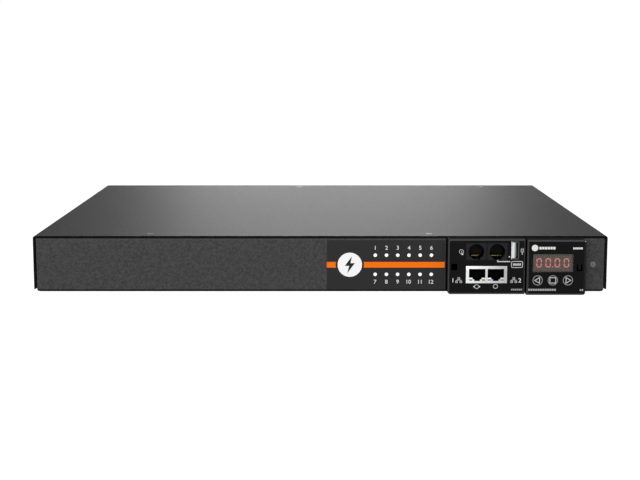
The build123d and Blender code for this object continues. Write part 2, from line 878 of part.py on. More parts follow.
def digit_sketches(x):
    """The seven bars of one digit."""
    across_length = digit_width - segment
    up_length = (digit_height - segment) / 2
    bars = [Pos(x, digit_z + row * up_length) * segment_bar(across_length, False) for row in (-1, 0, 1)]
    for side in (-1, 1):
        for row in (-1, 1):
            place = Pos(x + side * across_length / 2, digit_z + row * up_length / 2)
            bars.append(place * segment_bar(up_length, True))
    return bars


def digit_segments():
    """Every bar and decimal point of the display, standing on the block's face."""
    shapes = []
    for index in range(digit_count):
        x = window_x + digit_shift + (index - (digit_count - 1) / 2) * digit_pitch
        shapes.extend(digit_sketches(x))
        shapes.append(disc(x + digit_pitch / 2, digit_z - (digit_height - segment) / 2, point_radius))
    return group(through(shape, digit_front_y, digit_front_y + segment_relief) for shape in shapes)


def push_key(x):
    """A round cap with a flange behind the plate and a stem towards its switch."""
    flange_y = window_ledge_y + key_running_gap
    stem_y = display_board_y - switch_height - plunger_height - key_travel - key_running_gap
    cap = through(disc(x, key_z, key_radius), display_face_y - key_proud, flange_y)
    cap = fillet(cap.faces().sort_by(Axis.Y)[0].edges(), key_proud * 0.8)
    flange = through(disc(x, key_z, key_flange_radius), flange_y, flange_y + key_flange)
    return cap + flange + through(disc(x, key_z, key_stem_radius), flange_y + key_flange, stem_y)


def key_switches():
    """Three tactile switches on the display board, one behind each key."""
    switches = []
    for x in key_places:
        body = through(bar(x, key_z, switch_width, switch_width, lamp_clearance),
                       display_board_y - switch_height, display_board_y)
        plunger = through(disc(x, key_z, plunger_radius), display_board_y - switch_height - plunger_height,
                          display_board_y - switch_height)
        switches.append(body + plunger)
    return group(switches)


def display_board():
    edge = bezel_wall + display_board_gap
    outline = span(display_left + edge, display_right - edge, tub_bottom, tub_top - tub_wall)
    return through(outline, display_board_y, display_board_y + board)


# Flat cable
def module_ribbon():
    """Flat cable that leaves the lower board, drops to the floor and rises to the power board."""
    half = ribbon_thick / 2
    start_y = comms_tub_ends()[1] - comms_board_end_gap - ribbon_start
    exit_y = comms_tub_ends()[1] + 2 * ribbon_bend
    floor_z = sheet + telescope_gap + half
    points = [(start_y, jack_bottom + half), (exit_y, jack_bottom + half),
              (exit_y + 2 * ribbon_bend, floor_z), (power_board_y - relay_depth - 2 * ribbon_bend, floor_z),
              (power_board_y - 2 * ribbon_bend, ribbon_end_z), (power_board_y, ribbon_end_z)]
    path = FilletPolyline(*points, radius=ribbon_bend)
    cable = trace(path, line_width=ribbon_thick)
    return across(cable, ribbon_x - ribbon_width / 2, ribbon_x + ribbon_width / 2)


# Power inlet
def inlet_pin_places():
    """X and Z of the line, neutral and earth pins."""
    return [(inlet_x - inlet_pin_spacing / 2, inlet_z - inlet_pin_rise),
            (inlet_x + inlet_pin_spacing / 2, inlet_z - inlet_pin_rise), (inlet_x, inlet_z + inlet_pin_rise)]


def power_inlet():
    """Appliance inlet: a flange outside the back panel and a body with a deep cavity behind it."""
    flange = bar(inlet_x, inlet_z, inlet_flange_width, inlet_flange_height, inlet_corner)
    body = bar(inlet_x, inlet_z, inlet_body_width, inlet_body_height, inlet_corner)
    cavity = bar(inlet_x, inlet_z, inlet_cavity_width, inlet_cavity_height, inlet_cavity_corner)
    outer_y = rear_panel_y + inlet_flange
    moulding = through(flange, rear_panel_y, outer_y) + through(body, inlet_body_end_y, rear_panel_y)
    cuts = [through(cavity, outer_y - inlet_cavity_depth, outer_y)]
    for x, z in inlet_pin_places():
        pin = bar(x, z, inlet_pin_width, inlet_pin_thick)
        cuts.append(through(pin, inlet_body_end_y, outer_y - inlet_cavity_depth))
    for side in (-1, 1):
        place = Pos(inlet_x + side * inlet_screw_spacing / 2, outer_y, inlet_z) * Rot(-90, 0, 0)
        cuts.append(place * countersink())
        cuts.append(place * Cylinder(screw_radius + screw_clearance, 4 * inlet_flange))
    return moulding - cuts


def inlet_pins():
    """Line, neutral and earth pins, which run through the inlet and end as tabs inside the case."""
    outer_y = rear_panel_y + inlet_flange
    return group(through(bar(x, z, inlet_pin_width, inlet_pin_thick), inlet_body_end_y - inlet_tab_length,
                         outer_y - inlet_pin_set_back) for x, z in inlet_pin_places())


def inlet_screws():
    length = inlet_flange + sheet + screw_length
    return group(Pos(inlet_x + side * inlet_screw_spacing / 2, rear_panel_y + inlet_flange, inlet_z)
                 * Rot(-90, 0, 0) * screw(length) for side in (-1, 1))


# Outlets
def outlet_profile(x, width, height):
    """The connector's outline, turned upright, with its two keyed corners on the right."""
    half_width = width / 2
    half_height = height / 2
    left = x - half_width
    right = x + half_width
    low = outlet_z - half_height
    high = outlet_z + half_height
    return Polygon((left, low), (right - outlet_bevel, low), (right, low + outlet_bevel),
                   (right, high - outlet_bevel), (right - outlet_bevel, high), (left, high), align=None)


def outlet_slot_places(x):
    """X and Z of an outlet's line, neutral and earth slots."""
    shift = outlet_earth_offset / 2
    rise = outlet_slot_spacing / 2
    return [(x - shift, outlet_z - rise), (x - shift, outlet_z + rise), (x + shift, outlet_z)]


def outlet(x):
    """Panel outlet: a flange, a keyed well round a core, and three slots that run through."""
    outer_y = rear_panel_y + outlet_flange
    well_floor_y = outer_y - outlet_well_depth
    flange = bar(x, outlet_z, outlet_flange_width, outlet_flange_height, outlet_corner)
    body = bar(x, outlet_z, outlet_body_width, outlet_body_height, outlet_corner / 2)
    shell = through(flange, rear_panel_y, outer_y) + through(body, outlet_body_end_y, rear_panel_y)
    well = through(outlet_profile(x, outlet_well_width, outlet_well_height), well_floor_y, outer_y)
    core = through(outlet_profile(x, outlet_core_width, outlet_core_height), well_floor_y,
                   outer_y - outlet_core_recess)
    slots = [through(bar(slot_x, slot_z, outlet_slot_width, outlet_slot_thick), outlet_body_end_y, outer_y)
             for slot_x, slot_z in outlet_slot_places(x)]
    return shell - well + core - slots


def outlet_contact(x, z):
    """Two spring leaves joined at the back to a tab that passes through the power board."""
    leaf_front_y = rear_panel_y - outlet_core_recess
    half = outlet_slot_thick / 2 - jack_fit
    wide = outlet_slot_width - 2 * jack_fit
    rise = half - spring_leaf / 2
    leaves = [through(bar(x, z + side * rise, wide, spring_leaf), outlet_body_end_y, leaf_front_y)
              for side in (-1, 1)]
    bridge = through(bar(x, z, wide, 2 * half), outlet_body_end_y, outlet_body_end_y + spring_leaf)
    tab = through(bar(x, z, outlet_tab_width, outlet_tab_thick), outlet_body_end_y - outlet_tab_length,
                  outlet_body_end_y)
    return bridge + leaves + tab


def outlet_contacts():
    slots = [slot for x in outlet_places for slot in outlet_slot_places(x)]
    return group(outlet_contact(x, z) for x, z in slots)


# Power board and supply
def power_board():
    """Upright board behind the outlets, with a hole for every contact tab."""
    outline = span(power_board_left, power_board_right, power_board_bottom, power_board_top)
    holes = [bar(slot_x, slot_z, outlet_tab_width + 2 * tab_hole_gap, outlet_tab_thick + 2 * tab_hole_gap)
             for x in outlet_places for slot_x, slot_z in outlet_slot_places(x)]
    return through(outline - holes, power_board_y, power_board_y + board)


def relay(x):
    """A sealed relay with its pocket for the solder ends of the tabs behind it."""
    case = through(bar(x, outlet_z, relay_width, relay_height), power_board_y - relay_depth, power_board_y)
    case = fillet(case.faces().sort_by(Axis.Y)[0].edges(), relay_edge)
    tab_end = outlet_tab_length - power_board_gap + tab_hole_gap
    foot = through(bar(x, outlet_z, relay_width - 2 * relay_edge, relay_height - 2 * relay_edge),
                   power_board_y - tab_end, power_board_y)
    return case - foot


def relays():
    return group(relay(x) for x in outlet_places)


def supply_transformer():
    """Small mains transformer: a laminated core round a wound bobbin, on two feet."""
    core = block((transformer_x - core_width / 2, transformer_x + core_width / 2),
                 (transformer_y - core_depth / 2, transformer_y + core_depth / 2),
                 (sheet, sheet + core_height))
    middle = sheet + core_height / 2
    bobbin = block((transformer_x - bobbin_width / 2, transformer_x + bobbin_width / 2),
                   (transformer_y - bobbin_depth / 2, transformer_y + bobbin_depth / 2),
                   (middle - bobbin_height / 2, middle + bobbin_height / 2))
    feet = block((transformer_x - foot_width / 2, transformer_x + foot_width / 2),
                 (transformer_y - core_depth / 2, transformer_y + core_depth / 2),
                 (sheet, sheet + foot_thick))
    return core + bobbin + feet


def lead(pin, reach, end_z):
    """A round insulated lead from an inlet tab, round two bends, to the end of the power board."""
    start_y = inlet_body_end_y - inlet_tab_length
    cross_y = start_y - reach
    path = FilletPolyline((pin[0], start_y, pin[1]), (pin[0], cross_y, pin[1]), (lead_end_x, cross_y, end_z),
                          (lead_end_x, power_board_y, end_z), radius=lead_bend)
    profile = Plane(origin=path @ 0, z_dir=path % 0) * Circle(lead_radius)
    return sweep(profile, path=path)


# Every piece under its own name
line_pin, neutral_pin, earth_pin = inlet_pin_places()
pieces = {
    "chassis_base": chassis_base(),
    "top_cover": top_cover(),
    "cover_screws": cover_screws(),
    "panel_rivet": panel_rivet(),
    "ear_mount_nuts": ear_mount_nuts(),
    "status_overlay": status_overlay(),
    "stripe_print": stripe_print(),
    "badge_disc": badge_disc(),
    "light_pipes": light_pipes(),
    "status_board": status_board(),
    "status_leds": status_leds(),
    "board_posts": board_posts(),
    "comms_bezel": comms_bezel(),
    "comms_overlay": comms_overlay(),
    "comms_housing": comms_housing(),
    "comms_board": module_board(jack_bottom, comms_face_y),
    "port_board": module_board(phone_jack_bottom, comms_face_y),
    "network_jack_shield": network_jack_shield(),
    "network_jack_insert": network_jack_insert(),
    "network_jack_contacts": network_jack_contacts(),
    "network_jack_lamps": network_jack_lamps(),
    "sensor_jack": phone_jack(sensor_jack_x),
    "serial_jack": phone_jack(serial_jack_x),
    "phone_jack_contacts": phone_jack_contacts(),
    "usb_shell": usb_shell(),
    "usb_tongue": usb_tongue_piece(),
    "display_bezel": display_bezel(),
    "display_overlay": display_overlay(),
    "display_window": display_window(),
    "display_housing": display_housing(),
    "display_board": display_board(),
    "digit_block": digit_block(),
    "digit_segments": digit_segments(),
    "left_key": push_key(key_places[0]),
    "select_key": push_key(key_places[1]),
    "right_key": push_key(key_places[2]),
    "key_switches": key_switches(),
    "module_ribbon": module_ribbon(),
    "power_inlet": power_inlet(),
    "inlet_pins": inlet_pins(),
    "inlet_screws": inlet_screws(),
    "outlet_contacts": outlet_contacts(),
    "power_board": power_board(),
    "relays": relays(),
    "supply_transformer": supply_transformer(),
    "line_lead": lead(line_pin, line_reach, line_end_z),
    "neutral_lead": lead(neutral_pin, neutral_reach, neutral_end_z),
    "earth_lead": lead(earth_pin, earth_reach, earth_end_z),
}
for number, place in enumerate(outlet_places, start=1):
    pieces[f"outlet_{number:02d}"] = outlet(place)

os.makedirs("parts", exist_ok=True)
for name, piece in pieces.items():
    export_step(piece, f"parts/{name}.step")
print(len(pieces), "nodes written")
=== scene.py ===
import math

import bpy
from bpy.props import FloatProperty, FloatVectorProperty, PointerProperty
from mathutils import Euler, Matrix, Vector


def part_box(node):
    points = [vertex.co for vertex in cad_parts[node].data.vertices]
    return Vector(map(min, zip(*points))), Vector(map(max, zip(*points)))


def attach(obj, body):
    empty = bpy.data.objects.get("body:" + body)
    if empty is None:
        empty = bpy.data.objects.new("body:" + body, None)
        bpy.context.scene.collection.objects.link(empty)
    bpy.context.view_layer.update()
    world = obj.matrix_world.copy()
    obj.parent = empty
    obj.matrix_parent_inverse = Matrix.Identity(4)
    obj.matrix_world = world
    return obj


bl_info = {
    "name": "Rack Power Unit Finishes",
    "version": (1, 0, 0),
    "blender": (4, 5, 0),
    "location": "View3D > Sidebar > Power Unit",
    "description": "Finishes, prints, small metalwork and a studio for a rack power distribution unit",
    "category": "Object",
}

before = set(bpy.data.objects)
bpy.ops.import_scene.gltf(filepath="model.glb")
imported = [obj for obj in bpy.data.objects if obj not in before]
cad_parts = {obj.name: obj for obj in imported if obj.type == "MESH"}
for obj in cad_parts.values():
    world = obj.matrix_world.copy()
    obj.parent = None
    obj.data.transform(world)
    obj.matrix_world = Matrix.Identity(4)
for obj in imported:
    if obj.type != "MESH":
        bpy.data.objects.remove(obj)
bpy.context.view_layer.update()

MM = 0.001
FRONT = Euler((math.radians(90), 0, 0))
BACK = Euler((math.radians(90), 0, math.radians(180)))

# Sizes in millimetres
PRINT_THICKNESS = 0.05
DIGIT_PITCH = 6.95
DIGIT_HEIGHT = 7.05
DIGIT_SHIFT = 0.3
RIBBON_PITCH = 1.27

# Steps of a round line and of a round corner
ROUND_STEPS = 48
CORNER_STEPS = 6


# User settings
class CaseSettings(bpy.types.PropertyGroup):
    coat_colour: FloatVectorProperty(name="Coat", description="Colour of the powder coat", subtype="COLOR",
                                     size=3, min=0, max=1, default=(0.037, 0.037, 0.0375))
    # Near-black colour of the painted shade on cut edges, bends and the gap beside the modules
    edge_colour: FloatVectorProperty(name="Sheet Edge", description="Colour of cut edges and bends",
                                     subtype="COLOR", size=3, min=0, max=1, default=(0.002, 0.002, 0.0022))
    coat_grain: FloatProperty(name="Coat Grain", description="Size of one grain of the powder coat",
                              unit="LENGTH", min=0.0002, max=0.004, default=0.0016)
    coat_contrast: FloatProperty(name="Coat Contrast", description="How far the flecks differ in colour",
                                 subtype="FACTOR", min=0, max=1, default=0.42)
    coat_roughness: FloatProperty(name="Coat Roughness", description="Roughness of the powder coat",
                                  subtype="FACTOR", min=0, max=1, default=0.52)


class LabelSettings(bpy.types.PropertyGroup):
    film_colour: FloatVectorProperty(name="Film", description="Colour of the status film", subtype="COLOR",
                                     size=3, min=0, max=1, default=(0.021, 0.021, 0.022))
    stripe_colour: FloatVectorProperty(name="Stripe", description="Colour of the printed stripe",
                                       subtype="COLOR", size=3, min=0, max=1, default=(0.96, 0.18, 0.004))
    disc_colour: FloatVectorProperty(name="Disc", description="Colour of the printed disc", subtype="COLOR",
                                     size=3, min=0, max=1, default=(1.0, 1.0, 1.0))
    ink_colour: FloatVectorProperty(name="Ink", description="Colour of the light print", subtype="COLOR",
                                    size=3, min=0, max=1, default=(0.8, 0.8, 0.8))
    number_height: FloatProperty(name="Number Height", description="Height of the numbers by the lamps",
                                 unit="LENGTH", min=0.001, max=0.006, default=0.0031)
    number_gap: FloatProperty(name="Number Gap", description="From a lamp's centre to its number's centre",
                              unit="LENGTH", min=0.003, max=0.009, default=0.0058)


class ModuleSettings(bpy.types.PropertyGroup):
    moulding_colour: FloatVectorProperty(name="Moulding", description="Colour of the module mouldings",
                                         subtype="COLOR", size=3, min=0, max=1, default=(0.066, 0.066, 0.067))
    film_colour: FloatVectorProperty(name="Module Film", description="Colour of the modules' films",
                                     subtype="COLOR", size=3, min=0, max=1, default=(0.0048, 0.0048, 0.0051))
    socket_colour: FloatVectorProperty(name="Socket", description="Colour of the sensor and serial sockets",
                                       subtype="COLOR", size=3, min=0, max=1, default=(0.014, 0.0137, 0.0155))
    window_colour: FloatVectorProperty(name="Window", description="Tint of the display window",
                                       subtype="COLOR", size=3, min=0, max=1, default=(0.132, 0.108, 0.1))
    digit_colour: FloatVectorProperty(name="Digits", description="Colour of the lit bars", subtype="COLOR",
                                      size=3, min=0, max=1, default=(1.0, 0.24, 0.17))
    digit_glow: FloatProperty(name="Digit Glow", description="Strength of the lit bars", min=0, max=10,
                              default=1.6)
    key_ring: FloatProperty(name="Key Ring", description="Width of the ring on each key",
                            unit="LENGTH", min=0.0002, max=0.002, default=0.0006)
    key_sign: FloatProperty(name="Key Sign", description="Line width of the sign on each key",
                            unit="LENGTH", min=0.0002, max=0.002, default=0.0006)


class BackSettings(bpy.types.PropertyGroup):
    socket_colour: FloatVectorProperty(name="Sockets", description="Colour of the inlet and the outlets",
                                       subtype="COLOR", size=3, min=0, max=1, default=(0.018, 0.018, 0.019))
    number_height: FloatProperty(name="Outlet Number Height", description="Height of the outlets' numbers",
                                 unit="LENGTH", min=0.001, max=0.004, default=0.0026)


class StudioSettings(bpy.types.PropertyGroup):
    lens: FloatProperty(name="Lens", description="Focal length of the camera", min=20, max=200, default=76.83)
    tilt: FloatProperty(name="Tilt", description="How far the camera looks down", subtype="ANGLE",
                        default=math.radians(8.3376))
    distance: FloatProperty(name="Distance", description="From the camera to the front of the case",
                            unit="LENGTH", default=1.0388)
    height: FloatProperty(name="Height", description="Camera height over the underside", unit="LENGTH",
                          default=0.19264)
    shift: FloatProperty(name="Offset", description="Camera's place left or right of the middle",
                         unit="LENGTH", default=-0.00017)
    key_power: FloatProperty(name="Key Light", description="Power of the front light", min=0, max=200,
                             default=79)
    sheen_power: FloatProperty(name="Sheen Light", description="Power of the light that the top reflects",
                               min=0, max=200, default=7.4)
    fill: FloatProperty(name="Fill", description="Strength of the grey world", min=0, max=1, default=0.25)
    floor_radius: FloatProperty(name="Floor Radius", description="Radius of the floor with its rim",
                                unit="LENGTH", min=5, max=60, default=30)
    rim_height: FloatProperty(name="Rim Height", description="Height of the floor's curved rim",
                              unit="LENGTH", min=0.5, max=5, default=1.9)


# Node helpers
def new_material(name):
    """A new material, its node tree and its shader."""
    material = bpy.data.materials.new(name)
    material.use_nodes = True
    tree = material.node_tree
    return material, tree, tree.nodes["Principled BSDF"]


def set_inputs(made, **inputs):
    """Sets some of a node's input sockets, with _ for a space in a socket's name."""
    for key, value in inputs.items():
        made.inputs[key.replace("_", " ")].default_value = value


def node(tree, kind, **inputs):
    """A new node with some of its input sockets set."""
    made = tree.nodes.new(kind)
    set_inputs(made, **inputs)
    return made


def calculate(tree, operation, *values):
    """A Math node's result from numbers and other nodes' outputs."""
    made = tree.nodes.new("ShaderNodeMath")
    made.operation = operation
    for entry, value in zip(made.inputs, values):
        if isinstance(value, bpy.types.NodeSocket):
            tree.links.new(value, entry)
        else:
            entry.default_value = value
    return made.outputs[0]


def place_vector(tree):
    """The part's own coordinates, in metres, which the pieces keep when they move."""
    return tree.nodes.new("ShaderNodeTexCoord").outputs["Object"]


def place_axis(tree, axis):
    """One of the part's own coordinates, in metres."""
    split = tree.nodes.new("ShaderNodeSeparateXYZ")
    tree.links.new(place_vector(tree), split.inputs["Vector"])
    return split.outputs[axis]


def beyond(tree, axis, limit):
    """1 where one of the part's coordinates is over a limit."""
    return calculate(tree, "GREATER_THAN", place_axis(tree, axis), limit)


def short_of(tree, axis, limit):
    """1 where one of the part's coordinates is under a limit."""
    return calculate(tree, "LESS_THAN", place_axis(tree, axis), limit)


def around(tree, axis, centre, half):
    """1 where one of the part's coordinates is at most half away from a centre."""
    return calculate(tree, "COMPARE", place_axis(tree, axis), centre, half)


def both(tree, first, second):
    """1 where both factors are 1."""
    return calculate(tree, "MULTIPLY", first, second)


def either(tree, first, second):
    """1 where at least one of the factors is 1."""
    return calculate(tree, "MAXIMUM", first, second)


def grain(tree, size, detail, stretch=None):
    """Noise whose features are about the given size in metres."""
    noise = node(tree, "ShaderNodeTexNoise", Scale=1.0 / size, Detail=detail, Roughness=0.6)
    vector = place_vector(tree)
    if stretch:
        mapping = node(tree, "ShaderNodeMapping", Scale=stretch)
        tree.links.new(vector, mapping.inputs["Vector"])
        vector = mapping.outputs["Vector"]
    tree.links.new(vector, noise.inputs["Vector"])
    return noise.outputs["Fac"]


def vary_colour(tree, factor, low, high, start=0.3, end=0.7):
    """Lets the base colour go from low to high as the factor goes from start to end."""
    ramp = tree.nodes.new("ShaderNodeValToRGB")
    for stop, position, colour in zip(ramp.color_ramp.elements, (start, end), (low, high)):
        stop.position = position
        stop.color = (*colour, 1)
    tree.links.new(factor, ramp.inputs["Fac"])
    tree.links.new(ramp.outputs["Color"], tree.nodes["Principled BSDF"].inputs["Base Color"])


def swap_colour(tree, factor, colour):
    """Puts another colour over the base colour where the factor is 1."""
    base_colour = tree.nodes["Principled BSDF"].inputs["Base Color"]
    mix = tree.nodes.new("ShaderNodeMix")
    mix.data_type = "RGBA"
    # A Mix node has its colours in these sockets, after those for numbers and vectors
    under, over, result = mix.inputs[6], mix.inputs[7], mix.outputs[2]
    tree.links.new(factor, mix.inputs["Factor"])
    tree.links.new(base_colour.links[0].from_socket, under)
    over.default_value = (*colour, 1)
    tree.links.new(result, base_colour)


def spread(tree, factor, low, high, start=0.25, end=0.75):
    """A value that goes from low to high as the factor goes from start to end."""
    made = node(tree, "ShaderNodeMapRange", From_Min=start, From_Max=end, To_Min=low, To_Max=high)
    tree.links.new(factor, made.inputs["Value"])
    return made.outputs["Result"]


def bump(tree, shader, height, depth):
    """Relief of the given depth in metres on the shader's normal."""
    relief = node(tree, "ShaderNodeBump", Strength=1.0, Distance=depth)
    tree.links.new(height, relief.inputs["Height"])
    tree.links.new(relief.outputs["Normal"], shader.inputs["Normal"])


def shade(colour, factor):
    """A colour made darker or lighter by a factor."""
    return tuple(min(1.0, channel * factor) for channel in colour)


def speckled(name, colour, size, depth, roughness, contrast=0.12, metallic=0.0, specular=0.5, stretch=None):
    """A surface with a fine grain in its colour, its gloss and its relief."""
    material, tree, shader = new_material(name)
    broad_size, gloss_change = 60, 0.03
    fine = grain(tree, size, 3.0, stretch)
    broad = grain(tree, size * broad_size, 1.0)
    vary_colour(tree, fine, shade(colour, 1 - contrast), shade(colour, 1 + contrast))
    gloss = spread(tree, broad, roughness - gloss_change, roughness + gloss_change)
    tree.links.new(gloss, shader.inputs["Roughness"])
    set_inputs(shader, Metallic=metallic, Specular_IOR_Level=specular)
    bump(tree, shader, fine, depth)
    return material


# Finishes
def powder_coat(name, settings):
    """Fine orange-peel powder coat: flecks of two sizes that differ in colour, gloss and height."""
    material, tree, shader = new_material(name)
    colour, contrast, rough = settings.coat_colour, settings.coat_contrast, settings.coat_roughness
    fine_size, coarse_share, gloss_change = 0.35, 0.65, 0.07
    flecks = grain(tree, settings.coat_grain, 1.0)
    fine = grain(tree, settings.coat_grain * fine_size, 2.0)
    height = calculate(tree, "ADD", calculate(tree, "MULTIPLY", flecks, coarse_share),
                       calculate(tree, "MULTIPLY", fine, 1 - coarse_share))
    vary_colour(tree, height, shade(colour, 1 - contrast), shade(colour, 1 + contrast), 0.36, 0.64)
    gloss = spread(tree, flecks, rough - gloss_change, rough + gloss_change)
    tree.links.new(gloss, shader.inputs["Roughness"])
    set_inputs(shader, Specular_IOR_Level=0.2)
    bump(tree, shader, height, 0.13 * MM)
    return material


def facing(tree):
    """The way the surface faces in the part's own frame, as three values."""
    normal = tree.nodes.new("ShaderNodeSeparateXYZ")
    tree.links.new(tree.nodes.new("ShaderNodeTexCoord").outputs["Normal"], normal.inputs["Vector"])
    return normal.outputs


def edge_line(tree, factor, settings):
    """Painted shade: a near-black line without gloss, in place of the shade on cut edges, bends and narrow
    gaps.
    """
    shade_metallic = 0.85
    swap_colour(tree, factor, settings.edge_colour)
    # Metallic with a near-black colour takes the gloss away too, as painted shade
    tree.links.new(calculate(tree, "MULTIPLY", factor, shade_metallic),
                   tree.nodes["Principled BSDF"].inputs["Metallic"])


def cover_coat(settings):
    """The powder coat with near-black painted shade on its cut front edge and on its bends."""
    material = powder_coat("cover_powder_coat", settings)
    tree = material.node_tree
    faces = facing(tree)
    # Painted shade on the faces towards the front and on the bends
    cut_edge_shade = calculate(tree, "LESS_THAN", faces["Y"], -0.3)
    bend_shade = calculate(tree, "COMPARE", faces["Z"], 0.58, 0.38)
    edge_line(tree, either(tree, cut_edge_shade, bend_shade), settings)
    return material


def base_coat(settings):
    """The powder coat of the base, with near-black painted shade along its lower and end bends and in the gap
    beside the modules.
    """
    material = powder_coat("base_powder_coat", settings)
    tree = material.node_tree
    floor_bend, end_bend = 1.7 * MM, 0.8 * MM
    gap_shift, gap_half, gap_depth = 0.3 * MM, 0.45 * MM, 3 * MM
    low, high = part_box("chassis_base")
    from_middle = calculate(tree, "ABSOLUTE", place_axis(tree, "X"))
    # Painted shade along the lower bend and the end bends
    bends = either(tree, short_of(tree, "Z", low.z + floor_bend),
                   calculate(tree, "GREATER_THAN", from_middle, high.x - end_bend))
    # Painted shade in the gap beside the communications module
    gap = both(tree, around(tree, "X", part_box("comms_bezel")[0].x - gap_shift, gap_half),
               short_of(tree, "Y", low.y + gap_depth))
    edge_line(tree, either(tree, bends, gap), settings)
    return material


def printed_film(name, colour, specular=0.1):
    """Smooth matt film with a very fine pebble."""
    return speckled(name, colour, 0.35 * MM, 0.01 * MM, 0.42, contrast=0.09, specular=specular)


def ink(name, colour):
    """Screen-printed ink, a little uneven."""
    return speckled(name, colour, 0.5 * MM, 0.006 * MM, 0.5, contrast=0.04, specular=0.05)


def stripe_ink(settings):
    """The stripe's ink, left out in a narrow ring round the disc."""
    material = ink("stripe_ink", settings.stripe_colour)
    tree = material.node_tree
    ring_width = 1.5 * MM
    centre = middle("badge_disc")
    radius = centre.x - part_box("badge_disc")[0].x
    across = calculate(tree, "SUBTRACT", place_axis(tree, "X"), centre.x)
    up = calculate(tree, "SUBTRACT", place_axis(tree, "Z"), centre.z)
    square = calculate(tree, "ADD", calculate(tree, "MULTIPLY", across, across),
                       calculate(tree, "MULTIPLY", up, up))
    ring_gap = calculate(tree, "LESS_THAN", calculate(tree, "SQRT", square), radius + ring_width)
    swap_colour(tree, ring_gap, settings.film_colour)
    return material


def moulded(name, colour, roughness=0.5, specular=0.12):
    """Spark-eroded mould texture on a hard plastic."""
    return speckled(name, colour, 0.45 * MM, 0.03 * MM, roughness, contrast=0.1, specular=specular)


def bezel_moulding(name, colour, film):
    """Module moulding with painted shade on its top, left side, flat front and behind its film, and a painted
    highlight on its lower rim.
    """
    material = moulded(name, colour, 0.8, 0.01)
    tree = material.node_tree
    faces = facing(tree)
    low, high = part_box(film)
    behind = both(tree, around(tree, "Z", middle(film).z, (high.z - low.z) / 2),
                  around(tree, "X", middle(film).x, (high.x - low.x) / 2))
    behind = both(tree, behind, beyond(tree, "Y", high.y + 0.1 * MM))
    # Painted shade on the top faces, the left side, the flat front and behind the film; painted light on the
    # downward lower rim
    top = calculate(tree, "GREATER_THAN", faces["Z"], 0.95)
    left_side_shade = spread(tree, faces["X"], 1.0, 0.0, -0.98, -0.66)
    lower_rim_light = calculate(tree, "COMPARE", faces["Z"], -0.7, 0.25)
    front = calculate(tree, "LESS_THAN", faces["Y"], -0.9)
    for place, factor in ((top, 0.25), (left_side_shade, 0.02), (lower_rim_light, 2.4), (front, 0.12), (behind, 0.01)):
        swap_colour(tree, place, shade(colour, factor))
    return material


def display_moulding(name, colour):
    """The display module's moulding, with painted shade right of its film and a painted glint on its upper
    right corner.
    """
    material = bezel_moulding(name, colour, "display_overlay")
    tree = material.node_tree
    glint_width, glint_height, glint_depth = 1.1 * MM, 1.5 * MM, 1.0 * MM
    film_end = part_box("display_overlay")[1].x
    # Painted shade right of the film
    swap_colour(tree, beyond(tree, "X", film_end + 0.05 * MM), shade(colour, 0.35))
    low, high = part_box("display_bezel")
    # A pale painted glint on the upper right corner
    corner = both(tree, beyond(tree, "X", high.x - glint_width), beyond(tree, "Z", high.z - glint_height))
    corner = both(tree, corner, short_of(tree, "Y", low.y + glint_depth))
    swap_colour(tree, corner, (0.62, 0.62, 0.62))
    return material


def socket_moulding(name, colour):
    """Moulded plastic of the sensor and serial jacks, with near-black painted shade behind their face."""
    material = moulded(name, colour, 0.5, 0.08)
    tree = material.node_tree
    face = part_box("sensor_jack")[0].y
    # Painted shade inside the sockets, darker with depth
    inside = spread(tree, place_axis(tree, "Y"), 0.0, 1.0, face + 0.3 * MM, face + 2 * MM)
    swap_colour(tree, inside, (0.001, 0.001, 0.001))
    return material


def tin_plate(name, colour, roughness=0.3):
    """Bright pressed tin plate with faint rolling lines."""
    return speckled(name, colour, 0.6 * MM, 0.004 * MM, roughness, contrast=0.05, metallic=1.0,
                    stretch=(0.15, 1, 1))


def jack_tin(name):
    """The network jack's tin plate, with a painted highlight along its top and painted shade towards its
    right.
    """
    material = tin_plate(name, (0.68, 0.69, 0.7))
    tree = material.node_tree
    low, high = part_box("network_jack_shield")
    # Painted highlight along the top and painted shade towards the right
    bright = spread(tree, place_axis(tree, "Z"), 0.0, 0.8, high.z - 4 * MM, high.z - MM)
    dull = spread(tree, place_axis(tree, "X"), 0.0, 0.85, low.x + 3 * MM, high.x - 3 * MM)
    swap_colour(tree, bright, (0.95, 0.95, 0.95))
    swap_colour(tree, dull, (0.34, 0.34, 0.36))
    return material


def usb_tin(name):
    """The USB mouth's tin plate, painted dark as shade at the rest and inside, with a painted highlight on
    its left and lower rim.
    """
    # A dark tin colour as painted shade, with a painted highlight on the rim at the mouth
    material = tin_plate(name, (0.13, 0.135, 0.14), 0.4)
    tree = material.node_tree
    left_rim_light, lower_rim_light, lip_depth = 0.4 * MM, 0.45 * MM, 0.3 * MM
    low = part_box("usb_shell")[0]
    lit = either(tree, short_of(tree, "X", low.x + left_rim_light), short_of(tree, "Z", low.z + lower_rim_light))
    lit = both(tree, lit, short_of(tree, "Y", low.y + lip_depth))
    swap_colour(tree, lit, (0.78, 0.8, 0.8))
    return material


def tongue_plastic(name, colour):
    """The USB tongue's pale plastic, with painted shade making it greyer towards its right."""
    material = ink(name, colour)
    tree = material.node_tree
    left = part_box("usb_tongue")[0].x
    # Painted shade towards the right
    grey = spread(tree, place_axis(tree, "X"), 0.0, 1.0, left + 0.9 * MM, left + 2.7 * MM)
    swap_colour(tree, grey, shade(colour, 0.32))
    return material


def gold_plate(name):
    """Thin gold plate on a contact."""
    return speckled(name, (0.86, 0.62, 0.24), 0.4 * MM, 0.003 * MM, 0.24, contrast=0.06, metallic=1.0)


def nickel_plate(name):
    """Nickel plate on a pin or a contact."""
    return speckled(name, (0.68, 0.66, 0.6), 0.5 * MM, 0.004 * MM, 0.28, contrast=0.05, metallic=1.0)


